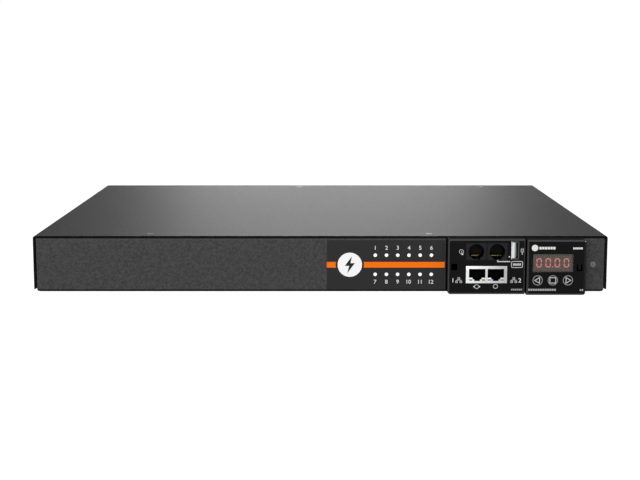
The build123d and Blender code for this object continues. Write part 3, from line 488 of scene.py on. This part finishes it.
def zinc_plate(name, colour=(0.62, 0.63, 0.65)):
    """Zinc plate on a screw or a nut, clear or black."""
    return speckled(name, colour, 0.4 * MM, 0.006 * MM, 0.34, contrast=0.1, metallic=1.0)


def milky_lens(name, colour, glow):
    """Milky clear plastic lamp lens that glows a little."""
    material, tree, shader = new_material(name)
    cloud = grain(tree, 1.6 * MM, 1.0)
    vary_colour(tree, cloud, shade(colour, 0.92), colour)
    set_inputs(shader, Roughness=0.22, Specular_IOR_Level=0.3)
    set_inputs(shader, Emission_Color=(*colour, 1), Emission_Strength=glow)
    return material


def port_lens(name):
    """Port lamp lenses: white on the left of each network port, pale yellow-green on the right."""
    material = milky_lens(name, (0.82, 0.86, 0.84), 0.3)
    tree = material.node_tree
    centre = middle("network_jack_shield").x
    port_1_right = around(tree, "X", centre - 2.2 * MM, 1.3 * MM)
    port_2_right = beyond(tree, "X", centre + 9 * MM)
    swap_colour(tree, either(tree, port_1_right, port_2_right), (0.6, 0.62, 0.36))
    return material


def smoked_window(name, colour):
    """Smoked clear plastic that dims the digits behind it."""
    material, tree, shader = new_material(name)
    haze = grain(tree, 4 * MM, 1.0)
    vary_colour(tree, haze, shade(colour, 0.93), shade(colour, 1.07))
    set_inputs(shader, Roughness=0.2, Alpha=0.42, Specular_IOR_Level=0.3)
    return material


def lit_bars(name, settings):
    """Bars that glow, apart from each digit's middle bar and all points but the middle one."""
    material, tree, shader = new_material(name)
    bar_half, point_half = 0.46 * MM, 0.65 * MM
    digit_middle = middle("display_window").x + DIGIT_SHIFT * MM
    dark = around(tree, "Z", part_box("digit_segments")[1].z - DIGIT_HEIGHT / 2 * MM, bar_half)
    for step in (-1, 1, 2):
        point = around(tree, "X", digit_middle + step * DIGIT_PITCH * MM, point_half)
        dark = either(tree, dark, point)
    tint = grain(tree, 0.6 * MM, 1.0)
    vary_colour(tree, tint, (0.16, 0.07, 0.055), (0.2, 0.09, 0.07))
    set_inputs(shader, Roughness=0.4, Emission_Color=(*settings.digit_colour, 1))
    glow = calculate(tree, "MULTIPLY", calculate(tree, "SUBTRACT", 1.0, dark), settings.digit_glow)
    tree.links.new(glow, shader.inputs["Emission Strength"])
    return material


def board_mask(name, colour=(0.012, 0.1, 0.045), specular=0.5):
    """Solder mask over faint copper tracks."""
    material, tree, shader = new_material(name)
    tracks = node(tree, "ShaderNodeTexVoronoi", Scale=380.0)
    tracks.distance = "MANHATTAN"
    tree.links.new(place_vector(tree), tracks.inputs["Vector"])
    vary_colour(tree, tracks.outputs["Distance"], colour, shade(colour, 1.7))
    set_inputs(shader, Roughness=0.35, Specular_IOR_Level=specular)
    bump(tree, shader, tracks.outputs["Distance"], 0.02 * MM)
    return material


def insulation(name, colour, second=None):
    """Waxy, slightly uneven cable insulation, with stripes of a second colour where given."""
    material = speckled(name, colour, 1.2 * MM, 0.02 * MM, 0.45, contrast=0.08)
    if second:
        tree = material.node_tree
        bands = node(tree, "ShaderNodeTexWave", Scale=70.0)
        bands.bands_direction = "DIAGONAL"
        tree.links.new(place_vector(tree), bands.inputs["Vector"])
        vary_colour(tree, bands.outputs["Fac"], colour, second)
    return material


def ribbed_cable(name):
    """Grey flat cable with one rib for each wire."""
    material, tree, shader = new_material(name)
    ribs = node(tree, "ShaderNodeTexWave", Scale=1 / (RIBBON_PITCH * MM) / 6.28)
    tree.links.new(place_vector(tree), ribs.inputs["Vector"])
    vary_colour(tree, ribs.outputs["Fac"], (0.26, 0.26, 0.27), (0.44, 0.44, 0.45))
    set_inputs(shader, Roughness=0.5)
    bump(tree, shader, ribs.outputs["Fac"], 0.2 * MM)
    return material


def finish_with(material, *names):
    """Gives CAD nodes a material by their objects' own slots."""
    for name in names:
        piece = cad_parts[name]
        if not piece.material_slots:
            piece.data.materials.append(material)
        for entry in piece.material_slots:
            entry.link = "OBJECT"
            entry.material = material


def soften(width, *names):
    """Rounds the hard edges of CAD nodes by a small bevel."""
    for name in names:
        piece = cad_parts[name]
        weld = piece.modifiers.new("weld", "WELD")
        weld.merge_threshold = 0.001 * MM
        edge = piece.modifiers.new("edge", "BEVEL")
        edge.width = width
        edge.segments = 2
        edge.limit_method = "ANGLE"
        edge.angle_limit = math.radians(40)
        edge.harden_normals = True


# Print helpers
def loop_rectangle(width, height, x, z=0.0):
    """A rectangle round its middle."""
    left, right, low, high = x - width / 2, x + width / 2, z - height / 2, z + height / 2
    return [(left, low), (right, low), (right, high), (left, high)]


def loop_circle(radius, x=0.0, z=0.0):
    """A circle round its middle."""
    turns = [2 * math.pi * step / ROUND_STEPS for step in range(ROUND_STEPS)]
    return [(x + radius * math.cos(turn), z + radius * math.sin(turn)) for turn in turns]


def loop_rounded(width, height, radius, x=0.0, z=0.0):
    """A rectangle with round corners."""
    points = []
    for corner, (side_x, side_z) in enumerate(((1, 1), (-1, 1), (-1, -1), (1, -1))):
        centre_x = x + side_x * (width / 2 - radius)
        centre_z = z + side_z * (height / 2 - radius)
        for step in range(CORNER_STEPS + 1):
            turn = math.pi / 2 * (corner + step / CORNER_STEPS)
            points.append((centre_x + radius * math.cos(turn), centre_z + radius * math.sin(turn)))
    return points


def ring(radius, line, x=0.0):
    """A round line: its outer and its inner loop."""
    return [loop_circle(radius, x), loop_circle(radius - line, x)]


def rounded_frame(width, height, radius, line, x=0.0, z=0.0):
    """A rectangular line with round corners: its outer and its inner loop."""
    inner_radius = max(radius - line, radius * 0.3)
    return [loop_rounded(width, height, radius, x, z),
            loop_rounded(width - 2 * line, height - 2 * line, inner_radius, x, z)]


def polygon_frame(points, line):
    """A closed line of even width inside an outline whose points go anticlockwise."""
    edges = []
    for (x1, z1), (x2, z2) in zip(points, points[1:] + points[:1]):
        length = math.hypot(x2 - x1, z2 - z1)
        edges.append((x1, z1, (x2 - x1) / length, (z2 - z1) / length))
    inner = []
    for (x1, z1, dx1, dz1), (x2, z2, dx2, dz2) in zip(edges[-1:] + edges[:-1], edges):
        px, pz = x1 - dz1 * line, z1 + dx1 * line
        qx, qz = x2 - dz2 * line, z2 + dx2 * line
        reach = ((qx - px) * dz2 - (qz - pz) * dx2) / (dx1 * dz2 - dz1 * dx2)
        inner.append((px + dx1 * reach, pz + dz1 * reach))
    return [points, inner]


def block_row(count, width, height, gap):
    """A row of plain blocks that stands where the real part has a word."""
    step = (width + gap) / count
    return [loop_rectangle(step - gap, height, (index - (count - 1) / 2) * step) for index in range(count)]


def new_object(name, data):
    """A new object in the scene."""
    made = bpy.data.objects.new(name, data)
    bpy.context.scene.collection.objects.link(made)
    return made


def mesh_piece(name, curve_data, turn, place, material, body, centred=False):
    """Turns a flat curve or text into a mesh piece, facing front or back, that rides on a body."""
    carrier = new_object(name + "_outline", curve_data)
    bpy.context.view_layer.update()
    depsgraph = bpy.context.evaluated_depsgraph_get()
    mesh = bpy.data.meshes.new_from_object(carrier.evaluated_get(depsgraph))
    bpy.data.objects.remove(carrier)
    mesh.name = name
    if centred:
        across, up = ([vertex.co[axis] for vertex in mesh.vertices] for axis in (0, 1))
        middle_x, middle_y = ((min(places) + max(places)) / 2 for places in (across, up))
        mesh.transform(Matrix.Translation((-middle_x, -middle_y, 0)))
    mesh.transform(Matrix.Translation(place) @ turn.to_matrix().to_4x4())
    mesh.materials.clear()
    mesh.materials.append(material)
    piece = new_object(name, mesh)
    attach(piece, body)


def print_shape(name, loops, place, material, body="case", thick=PRINT_THICKNESS):
    """A thin print of closed loops in millimetres, inner loops cut out, centred on place in metres."""
    data = bpy.data.curves.new(name, "CURVE")
    data.dimensions = "2D"
    data.fill_mode = "BOTH"
    data.extrude = thick * MM / 2
    for loop in loops:
        spline = data.splines.new("POLY")
        spline.points.add(len(loop) - 1)
        for point, (x, z) in zip(spline.points, loop):
            point.co = (x * MM, z * MM, 0, 1)
        spline.use_cyclic_u = True
    mesh_piece(name, data, FRONT, place, material, body)


def print_number(name, text, height, place, material, turn=FRONT):
    """A plain number of the given height in metres, a little bold, its middle on place."""
    figure_share, weight = 0.72, 0.015
    data = bpy.data.curves.new(name, "FONT")
    data.body = text
    data.size = height / figure_share
    data.extrude = PRINT_THICKNESS * MM / 2
    data.offset = height * weight
    data.resolution_u = 6
    mesh_piece(name, data, turn, place, material, "case", centred=True)


def film_front(name):
    """The Y just in front of a film, where its print lies."""
    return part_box(name)[0].y - PRINT_THICKNESS * MM / 2


def middle(name):
    """The middle of a CAD node's box."""
    low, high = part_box(name)
    return (low + high) / 2


def beside(anchor, film, x, z):
    """A place on a film's face, x and z in millimetres from the middle of another node."""
    centre = middle(anchor)
    return Vector((centre.x + x * MM, film_front(film), centre.z + z * MM))


# Operators
class PDU_OT_case_finish(bpy.types.Operator):
    """Paint the folded case and finish its screws, rivet and nuts"""
    bl_idname = "pdu.case_finish"
    bl_label = "Case"

    def execute(self, context):
        settings = context.scene.pdu_case
        finish_with(base_coat(settings), "chassis_base")
        finish_with(cover_coat(settings), "top_cover")
        finish_with(zinc_plate("black_zinc", (0.16, 0.16, 0.165)), "cover_screws")
        finish_with(zinc_plate("bright_zinc"), "inlet_screws", "ear_mount_nuts")
        # Grey made lighter than the coat, as painted light on the rivet's lit dome
        rivet_lightened_paint = speckled("rivet_lightened_paint", (0.13, 0.13, 0.13), 0.6 * MM, 0.02 * MM, 0.4, specular=0.3)
        finish_with(rivet_lightened_paint, "panel_rivet")
        stub = middle("panel_rivet")
        stub.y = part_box("panel_rivet")[0].y + 0.3 * MM
        stub_steel = speckled("rivet_stub_steel", (0.1, 0.1, 0.1), 0.4 * MM, 0.02 * MM, 0.45, specular=0.3)
        print_shape("rivet_stub", [loop_circle(0.69)], stub, stub_steel, thick=0.4)
        return {"FINISHED"}


class PDU_OT_status_label(bpy.types.Operator):
    """Finish the status film, its stripe and disc, the lamps and their board"""
    bl_idname = "pdu.status_label"
    bl_label = "Status Label"

    def execute(self, context):
        settings = context.scene.pdu_label
        finish_with(printed_film("status_film", settings.film_colour), "status_overlay")
        finish_with(stripe_ink(settings), "stripe_print")
        finish_with(ink("disc_ink", settings.disc_colour), "badge_disc")
        finish_with(milky_lens("lamp_lens", (0.9, 0.9, 0.9), 0.35), "light_pipes")
        finish_with(milky_lens("status_lamp", (0.85, 0.87, 0.9), 0.2), "status_leds")
        finish_with(board_mask("status_board_mask"), "status_board")
        finish_with(moulded("post_nylon", (0.7, 0.67, 0.58)), "board_posts")
        return {"FINISHED"}


class PDU_OT_lamp_numbers(bpy.types.Operator):
    """Print the plain numbers 1 to 12 over and under the lamps"""
    bl_idname = "pdu.lamp_numbers"
    bl_label = "Lamp Numbers"

    def execute(self, context):
        settings = context.scene.pdu_label
        half_lamp, columns = 1.0 * MM, 6
        low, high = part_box("status_leds")
        step = (high.x - low.x - 2 * half_lamp) / (columns - 1)
        y = film_front("status_overlay")
        light_ink = ink("number_ink", settings.ink_colour)
        upper, lower = high.z - half_lamp + settings.number_gap, low.z + half_lamp - settings.number_gap
        for row, z in enumerate((upper, lower)):
            for index in range(columns):
                number = row * columns + index + 1
                place = Vector((low.x + half_lamp + index * step, y, z))
                print_number(f"lamp_number_{number:02d}", str(number), settings.number_height, place,
                             light_ink)
        return {"FINISHED"}


class PDU_OT_badge_mark(bpy.types.Operator):
    """Print a plain electric bolt on the white disc"""
    bl_idname = "pdu.badge_mark"
    bl_label = "Disc Mark"

    def execute(self, context):
        bolt = [(1.7, 6.6), (-3.9, -0.9), (-0.5, -0.9), (-2.0, -6.6), (3.9, 1.3), (0.5, 1.3)]
        dark_ink = ink("mark_ink", context.scene.pdu_label.film_colour)
        place = beside("badge_disc", "badge_disc", 0, 0)
        print_shape("badge_bolt", [bolt], place, dark_ink)
        return {"FINISHED"}


class PDU_OT_comms_module(bpy.types.Operator):
    """Finish the communications module, its sockets and its boards"""
    bl_idname = "pdu.comms_module"
    bl_label = "Communications Module"

    def execute(self, context):
        module = context.scene.pdu_module
        colour = module.moulding_colour
        # The housings' moulding is painted near black, as shade, where it shows through the openings
        finish_with(moulded("module_moulding", shade(colour, 0.15)), "comms_housing", "display_housing")
        finish_with(bezel_moulding("comms_moulding", colour, "comms_overlay"), "comms_bezel")
        finish_with(display_moulding("display_moulding", colour), "display_bezel")
        soften(0.25 * MM, "comms_bezel", "display_bezel")
        finish_with(printed_film("comms_film", module.film_colour, 0.045), "comms_overlay")
        finish_with(jack_tin("jack_tin"), "network_jack_shield")
        finish_with(usb_tin("usb_tin"), "usb_shell")
        # Near black: partly the insert's own black plastic, partly painted shade inside the network ports
        finish_with(moulded("jack_moulding", (0.002, 0.002, 0.0022), 0.5, 0.02), "network_jack_insert")
        sockets = socket_moulding("modular_jack_moulding", module.socket_colour)
        finish_with(sockets, "sensor_jack", "serial_jack")
        finish_with(gold_plate("contact_gold"), "network_jack_contacts", "phone_jack_contacts")
        finish_with(port_lens("port_lamp"), "network_jack_lamps")
        finish_with(tongue_plastic("tongue_plastic", (0.93, 0.96, 0.96)), "usb_tongue")
        black_mask = board_mask("black_board_mask", (0.001, 0.0013, 0.0012), 0.02)
        finish_with(black_mask, "comms_board", "port_board", "display_board")
        return {"FINISHED"}


class PDU_OT_port_lamp_slits(bpy.types.Operator):
    """Put the narrow slit of each port lamp on its lens"""
    bl_idname = "pdu.port_lamp_slits"
    bl_label = "Port Lamp Slits"

    def execute(self, context):
        left = ("left", -4.95, ink("slit_shade", (0.01, 0.013, 0.011)))
        right = ("right", 4.95, ink("slit_olive", (0.1, 0.1, 0.04)))
        slit = [loop_rounded(2.3, 1.0, 0.3)]
        for port, port_x in ((1, -7.1), (2, 7.1)):
            for side, shift, tone in (left, right):
                place = beside("network_jack_lamps", "network_jack_lamps", port_x + shift, -0.1)
                print_shape(f"port_lamp_slit_{port}_{side}", slit, place, tone)
        return {"FINISHED"}


class PDU_OT_port_marks(bpy.types.Operator):
    """Print the plain port numbers and the small signs by the sockets"""
    bl_idname = "pdu.port_marks"
    bl_label = "Port Marks"

    def network_sign(self, number, x, light_ink):
        """Three small boxes on one line."""
        place = beside("network_jack_shield", "comms_overlay", x, -4.3)
        boxes = []
        for box_x, box_z in ((0, 1.35), (-1.65, -1.2), (1.65, -1.2)):
            boxes += rounded_frame(1.9, 1.7, 0.3, 0.45, box_x, box_z)
        print_shape(f"network_boxes_{number}", boxes, place, light_ink)
        line = [(-1.85, -0.35), (-1.45, -0.35), (-1.45, 0.0), (1.45, 0.0),
                (1.45, -0.35), (1.85, -0.35), (1.85, 0.35), (-1.85, 0.35)]
        print_shape(f"network_line_{number}", [line], place, light_ink)

    def execute(self, context):
        light_ink = ink("port_ink", context.scene.pdu_label.ink_colour)
        sign_ink = ink("port_sign_ink", (0.5, 0.5, 0.5))
        line_ink = ink("port_line_ink", (0.6, 0.6, 0.6))
        grey_ink = ink("port_grey_ink", (0.36, 0.36, 0.36))
        for number, x in ((1, -25.55), (2, 25.45)):
            place = beside("network_jack_shield", "comms_overlay", x, -4.4)
            print_number(f"port_number_{number}", str(number), 3.3 * MM, place, light_ink)
        self.network_sign(1, -21.1, sign_ink)
        self.network_sign(2, 20.9, sign_ink)
        left_arrow, right_arrow = (
            [(side * 1.5, 0.95), (side * 1.5, -0.95), (side * 2.85, 0.0)] for side in (-1, 1))
        plug_pins = [loop_rectangle(0.5, 0.9, x, 1.65) for x in (-0.65, 0.65)]
        bits = [loop_rectangle(0.55, 1.7, x) for x in (-2.7, 0.0, 2.7)]
        bits += ring(0.85, 0.45, -1.35) + ring(0.85, 0.45, 1.35)
        leader = [(-5.0, -0.4), (4.9, -0.4), (4.9, 0.4), (-4.2, 0.4), (-4.2, 1.1), (-5.0, 1.1)]
        link, sensor, serial = (-7.3, -9.25), (-19.35, 17.75), (23.1, 7.85)
        for name, loops, (x, z), tone in (
                ("link_ring", ring(1.75, 0.4), link, line_ink),
                ("link_arrow_left", [left_arrow], link, light_ink),
                ("link_arrow_right", [right_arrow], link, light_ink),
                ("activity_ring", ring(1.8, 0.42), (7.0, -9.1), line_ink),
                ("sensor_ring", ring(1.8, 0.45), sensor, sign_ink),
                ("sensor_stem", [loop_rectangle(0.4, 1.3, 0.15, 0.0)], sensor, sign_ink),
                ("sensor_dot", [loop_circle(0.85, 0.7, -1.75)], sensor, light_ink),
                ("serial_frame", rounded_frame(8.9, 5.2, 1.2, 0.5), serial, line_ink),
                ("serial_bits", bits, serial, light_ink),
                ("serial_leader", [leader], (12.95, 10.1), line_ink),
                # A light dot as a painted glint at the USB shell's lower left corner
                ("usb_glint_dot", [loop_circle(0.5)], (17.2, 13.8), light_ink),
                ("module_type_blocks", block_row(6, 8.4, 1.25, 0.35), (23.15, -11.6), grey_ink)):
            print_shape(name, loops, beside("network_jack_shield", "comms_overlay", x, z), tone)
        plug = beside("usb_tongue", "comms_overlay", 5.4, -0.4)
        print_shape("plug_sign", rounded_frame(2.3, 2.2, 0.5, 0.45, 0, 0.1), plug, sign_ink)
        print_shape("plug_stem", [loop_rectangle(0.55, 1.9, 0, -1.95)], plug, line_ink)
        print_shape("plug_pins", plug_pins, plug, sign_ink)
        return {"FINISHED"}


class PDU_OT_display_module(bpy.types.Operator):
    """Finish the display module, its window, digits and switches"""
    bl_idname = "pdu.display_module"
    bl_label = "Display Module"

    def execute(self, context):
        module = context.scene.pdu_module
        finish_with(printed_film("display_film", module.film_colour, 0.045), "display_overlay")
        finish_with(smoked_window("smoked_window", module.window_colour), "display_window")
        finish_with(moulded("digit_block_moulding", (0.16, 0.155, 0.15)), "digit_block")
        finish_with(lit_bars("lit_bars", module), "digit_segments")
        keys = moulded("key_moulding", module.film_colour, 0.42, 0.05)
        finish_with(keys, "left_key", "select_key", "right_key")
        finish_with(moulded("switch_moulding", (0.015, 0.015, 0.015)), "key_switches")
        return {"FINISHED"}


class PDU_OT_display_marks(bpy.types.Operator):
    """Print the plain disc and the rows of plain blocks on the display module's film"""
    bl_idname = "pdu.display_marks"
    bl_label = "Display Marks"

    def execute(self, context):
        light_ink = ink("display_ink", context.scene.pdu_label.ink_colour)
        grey_ink = ink("display_grey_ink", (0.42, 0.42, 0.42))
        for name, loops, x, z, tone in (
                ("display_disc", [loop_circle(2.45)], -14.0, 11.65, light_ink),
                ("upper_left_blocks", block_row(6, 12.2, 1.9, 0.35), -4.6, 11.55, light_ink),
                ("upper_right_blocks", block_row(5, 7.2, 1.5, 0.35), 18.5, 11.35, light_ink),
                ("lower_left_blocks", block_row(12, 21.0, 1.5, 0.35), -8.0, -20.5, grey_ink),
                ("lower_right_blocks", block_row(2, 2.5, 1.3, 0.35), 22.0, -20.7, grey_ink)):
            print_shape(name, loops, beside("display_window", "display_overlay", x, z), tone)
        return {"FINISHED"}


class PDU_OT_key_marks(bpy.types.Operator):
    """Print a ring and a plain sign on each key"""
    bl_idname = "pdu.key_marks"
    bl_label = "Key Marks"

    def execute(self, context):
        module = context.scene.pdu_module
        ring_ink = ink("key_ring_ink", (0.27, 0.27, 0.27))
        sign_ink = ink("key_sign_ink", (0.56, 0.56, 0.56))
        line = module.key_sign / MM
        left = polygon_frame([(-2.8, 0.0), (1.75, -2.7), (1.75, 2.7)], line)
        right = polygon_frame([(2.8, 0.0), (-1.75, 2.7), (-1.75, -2.7)], line)
        square = rounded_frame(5.0, 4.7, 0.3, line)
        for key, sign in (("left_key", left), ("select_key", square), ("right_key", right)):
            place = beside(key, key, 0, 0.2)
            print_shape(key + "_ring", ring(3.88, module.key_ring / MM), place, ring_ink, body=key)
            print_shape(key + "_sign", sign, place, sign_ink, body=key)
        return {"FINISHED"}


class PDU_OT_back_panel(bpy.types.Operator):
    """Finish the inlet and the outlets, and print plain numbers by the outlets"""
    bl_idname = "pdu.back_panel"
    bl_label = "Back Panel"

    def execute(self, context):
        settings = context.scene.pdu_back
        outlets = sorted(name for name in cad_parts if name.startswith("outlet_") and name[-1].isdigit())
        finish_with(moulded("socket_moulding", settings.socket_colour), "power_inlet", *outlets)
        finish_with(nickel_plate("pin_nickel"), "inlet_pins", "outlet_contacts")
        light_ink = ink("outlet_ink", context.scene.pdu_label.ink_colour)
        height = settings.number_height
        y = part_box("chassis_base")[1].y + PRINT_THICKNESS * MM / 2
        for number, name in enumerate(outlets, start=1):
            place = Vector((middle(name).x, y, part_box(name)[1].z + height * 0.75))
            print_number(f"outlet_number_{number:02d}", str(number), height, place, light_ink, BACK)
        return {"FINISHED"}


class PDU_OT_inner_parts(bpy.types.Operator):
    """Finish the boards, relays, transformer and leads inside the case"""
    bl_idname = "pdu.inner_parts"
    bl_label = "Inner Parts"

    def execute(self, context):
        finish_with(board_mask("power_board_mask"), "power_board")
        finish_with(moulded("relay_moulding", (0.02, 0.04, 0.14)), "relays")
        core_varnish = speckled("core_varnish", (0.11, 0.09, 0.07), 0.7 * MM, 0.04 * MM, 0.4)
        finish_with(core_varnish, "supply_transformer")
        finish_with(insulation("line_insulation", (0.16, 0.06, 0.025)), "line_lead")
        finish_with(insulation("neutral_insulation", (0.015, 0.08, 0.36)), "neutral_lead")
        finish_with(insulation("earth_insulation", (0.05, 0.28, 0.03), (0.7, 0.6, 0.02)), "earth_lead")
        finish_with(ribbed_cable("flat_cable"), "module_ribbon")
        return {"FINISHED"}


class PDU_OT_studio(bpy.types.Operator):
    """Set up the floor, the world, the lights and the camera"""
    bl_idname = "pdu.studio"
    bl_label = "Studio"

    def floor(self, settings):
        """A wide pale floor with a low curved rim, just under the case."""
        radius, rim, drop = settings.floor_radius, settings.rim_height, 0.2 * MM
        round_steps, rim_steps = 96, 8
        profile = [(reach, 0.0) for reach in (0.5, 3.0, 10.0, radius - rim)]
        for turn in (math.pi / 2 * step / rim_steps for step in range(1, rim_steps + 1)):
            profile.append((radius - rim + rim * math.sin(turn), rim - rim * math.cos(turn)))
        turns = [2 * math.pi * step / round_steps for step in range(round_steps)]
        points = [(reach * math.cos(turn), reach * math.sin(turn), height)
                  for reach, height in profile for turn in turns]
        faces = [tuple(range(round_steps))]
        for band in range(len(profile) - 1):
            for step in range(round_steps):
                inner, after = band * round_steps + step, band * round_steps + (step + 1) % round_steps
                faces.append((inner, inner + round_steps, after + round_steps, after))
        mesh = bpy.data.meshes.new("floor")
        mesh.from_pydata(points, [], faces)
        mesh.materials.append(self.floor_paint())
        floor = new_object("floor", mesh)
        floor.location.z = -drop

    def floor_paint(self):
        """Pale paint that keeps the shadow, with a glow that only the camera, gloss and clear plastic see."""
        material, tree, shader = new_material("pale_floor")
        set_inputs(shader, Base_Color=(0.3, 0.3, 0.3, 1), Roughness=0.9, Specular_IOR_Level=0.0)
        path = tree.nodes.new("ShaderNodeLightPath").outputs
        seen = either(tree, path["Is Camera Ray"], path["Is Glossy Ray"])
        seen = either(tree, seen, path["Is Transmission Ray"])
        glow = tree.nodes.new("ShaderNodeEmission")
        tree.links.new(calculate(tree, "MULTIPLY", seen, 0.95), glow.inputs["Strength"])
        together = tree.nodes.new("ShaderNodeAddShader")
        tree.links.new(shader.outputs[0], together.inputs[0])
        tree.links.new(glow.outputs[0], together.inputs[1])
        tree.links.new(together.outputs[0], tree.nodes["Material Output"].inputs["Surface"])
        return material

    def world(self, settings):
        """A plain grey world that fills the shade."""
        world = bpy.data.worlds.new("studio")
        bpy.context.scene.world = world
        world.use_nodes = True
        set_inputs(world.node_tree.nodes["Background"], Color=(1, 1, 1, 1), Strength=settings.fill)

    def light(self, name, power, size, place, target):
        """A soft rectangular light that the camera doesn't see."""
        data = bpy.data.lights.new(name, "AREA")
        data.shape = "RECTANGLE"
        data.size, data.size_y = size
        data.energy = power
        lamp = new_object(name, data)
        lamp.location = place
        lamp.rotation_euler = (Vector(target) - Vector(place)).to_track_quat("-Z", "Y").to_euler()
        lamp.visible_camera = False

    def camera(self, settings):
        """The camera, its distance measured from the cover's front edge."""
        data = bpy.data.cameras.new("camera")
        data.lens = settings.lens
        data.sensor_width = 36
        data.clip_start = 0.01
        camera = new_object("camera", data)
        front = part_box("top_cover")[0].y
        camera.location = (settings.shift, front - settings.distance, settings.height)
        camera.rotation_euler = (math.radians(90) - settings.tilt, 0, 0)
        bpy.context.scene.camera = camera

    def execute(self, context):
        settings = context.scene.pdu_studio
        context.scene.view_settings.view_transform = "Standard"
        self.floor(settings)
        self.world(settings)
        for name, power, size, place, target in (
                ("key_light", settings.key_power, (2.2, 1.4), (-0.5, -2.9, 1.1), (0, 0, 0.02)),
                ("sheen_light", settings.sheen_power, (0.86, 0.42), (0.022, 2.4, 0.5), (0, 0, 0.04))):
            self.light(name, power, size, place, target)
        self.camera(settings)
        return {"FINISHED"}


class PDU_PT_panel(bpy.types.Panel):
    """Lists the steps and their settings"""
    bl_label = "Rack Power Unit"
    bl_space_type = "VIEW_3D"
    bl_region_type = "UI"
    bl_category = "Power Unit"

    def draw(self, context):
        for operator in OPERATORS:
            self.layout.operator(operator.bl_idname)
        for name in SETTINGS:
            group = getattr(context.scene, name)
            for key in group.__annotations__:
                self.layout.prop(group, key)


SETTINGS = {
    "pdu_case": CaseSettings,
    "pdu_label": LabelSettings,
    "pdu_module": ModuleSettings,
    "pdu_back": BackSettings,
    "pdu_studio": StudioSettings,
}
OPERATORS = (
    PDU_OT_case_finish,
    PDU_OT_status_label,
    PDU_OT_lamp_numbers,
    PDU_OT_badge_mark,
    PDU_OT_comms_module,
    PDU_OT_port_lamp_slits,
    PDU_OT_port_marks,
    PDU_OT_display_module,
    PDU_OT_display_marks,
    PDU_OT_key_marks,
    PDU_OT_back_panel,
    PDU_OT_inner_parts,
    PDU_OT_studio,
)
CLASSES = (*SETTINGS.values(), *OPERATORS, PDU_PT_panel)


def register():
    for made in CLASSES:
        bpy.utils.register_class(made)
    for name, group in SETTINGS.items():
        setattr(bpy.types.Scene, name, PointerProperty(type=group))


def unregister():
    for name in SETTINGS:
        delattr(bpy.types.Scene, name)
    for made in reversed(CLASSES):
        bpy.utils.unregister_class(made)


def main():
    register()
    for operator in OPERATORS:
        group, name = operator.bl_idname.split(".")
        getattr(getattr(bpy.ops, group), name)()


if __name__ == "__main__":
    main()
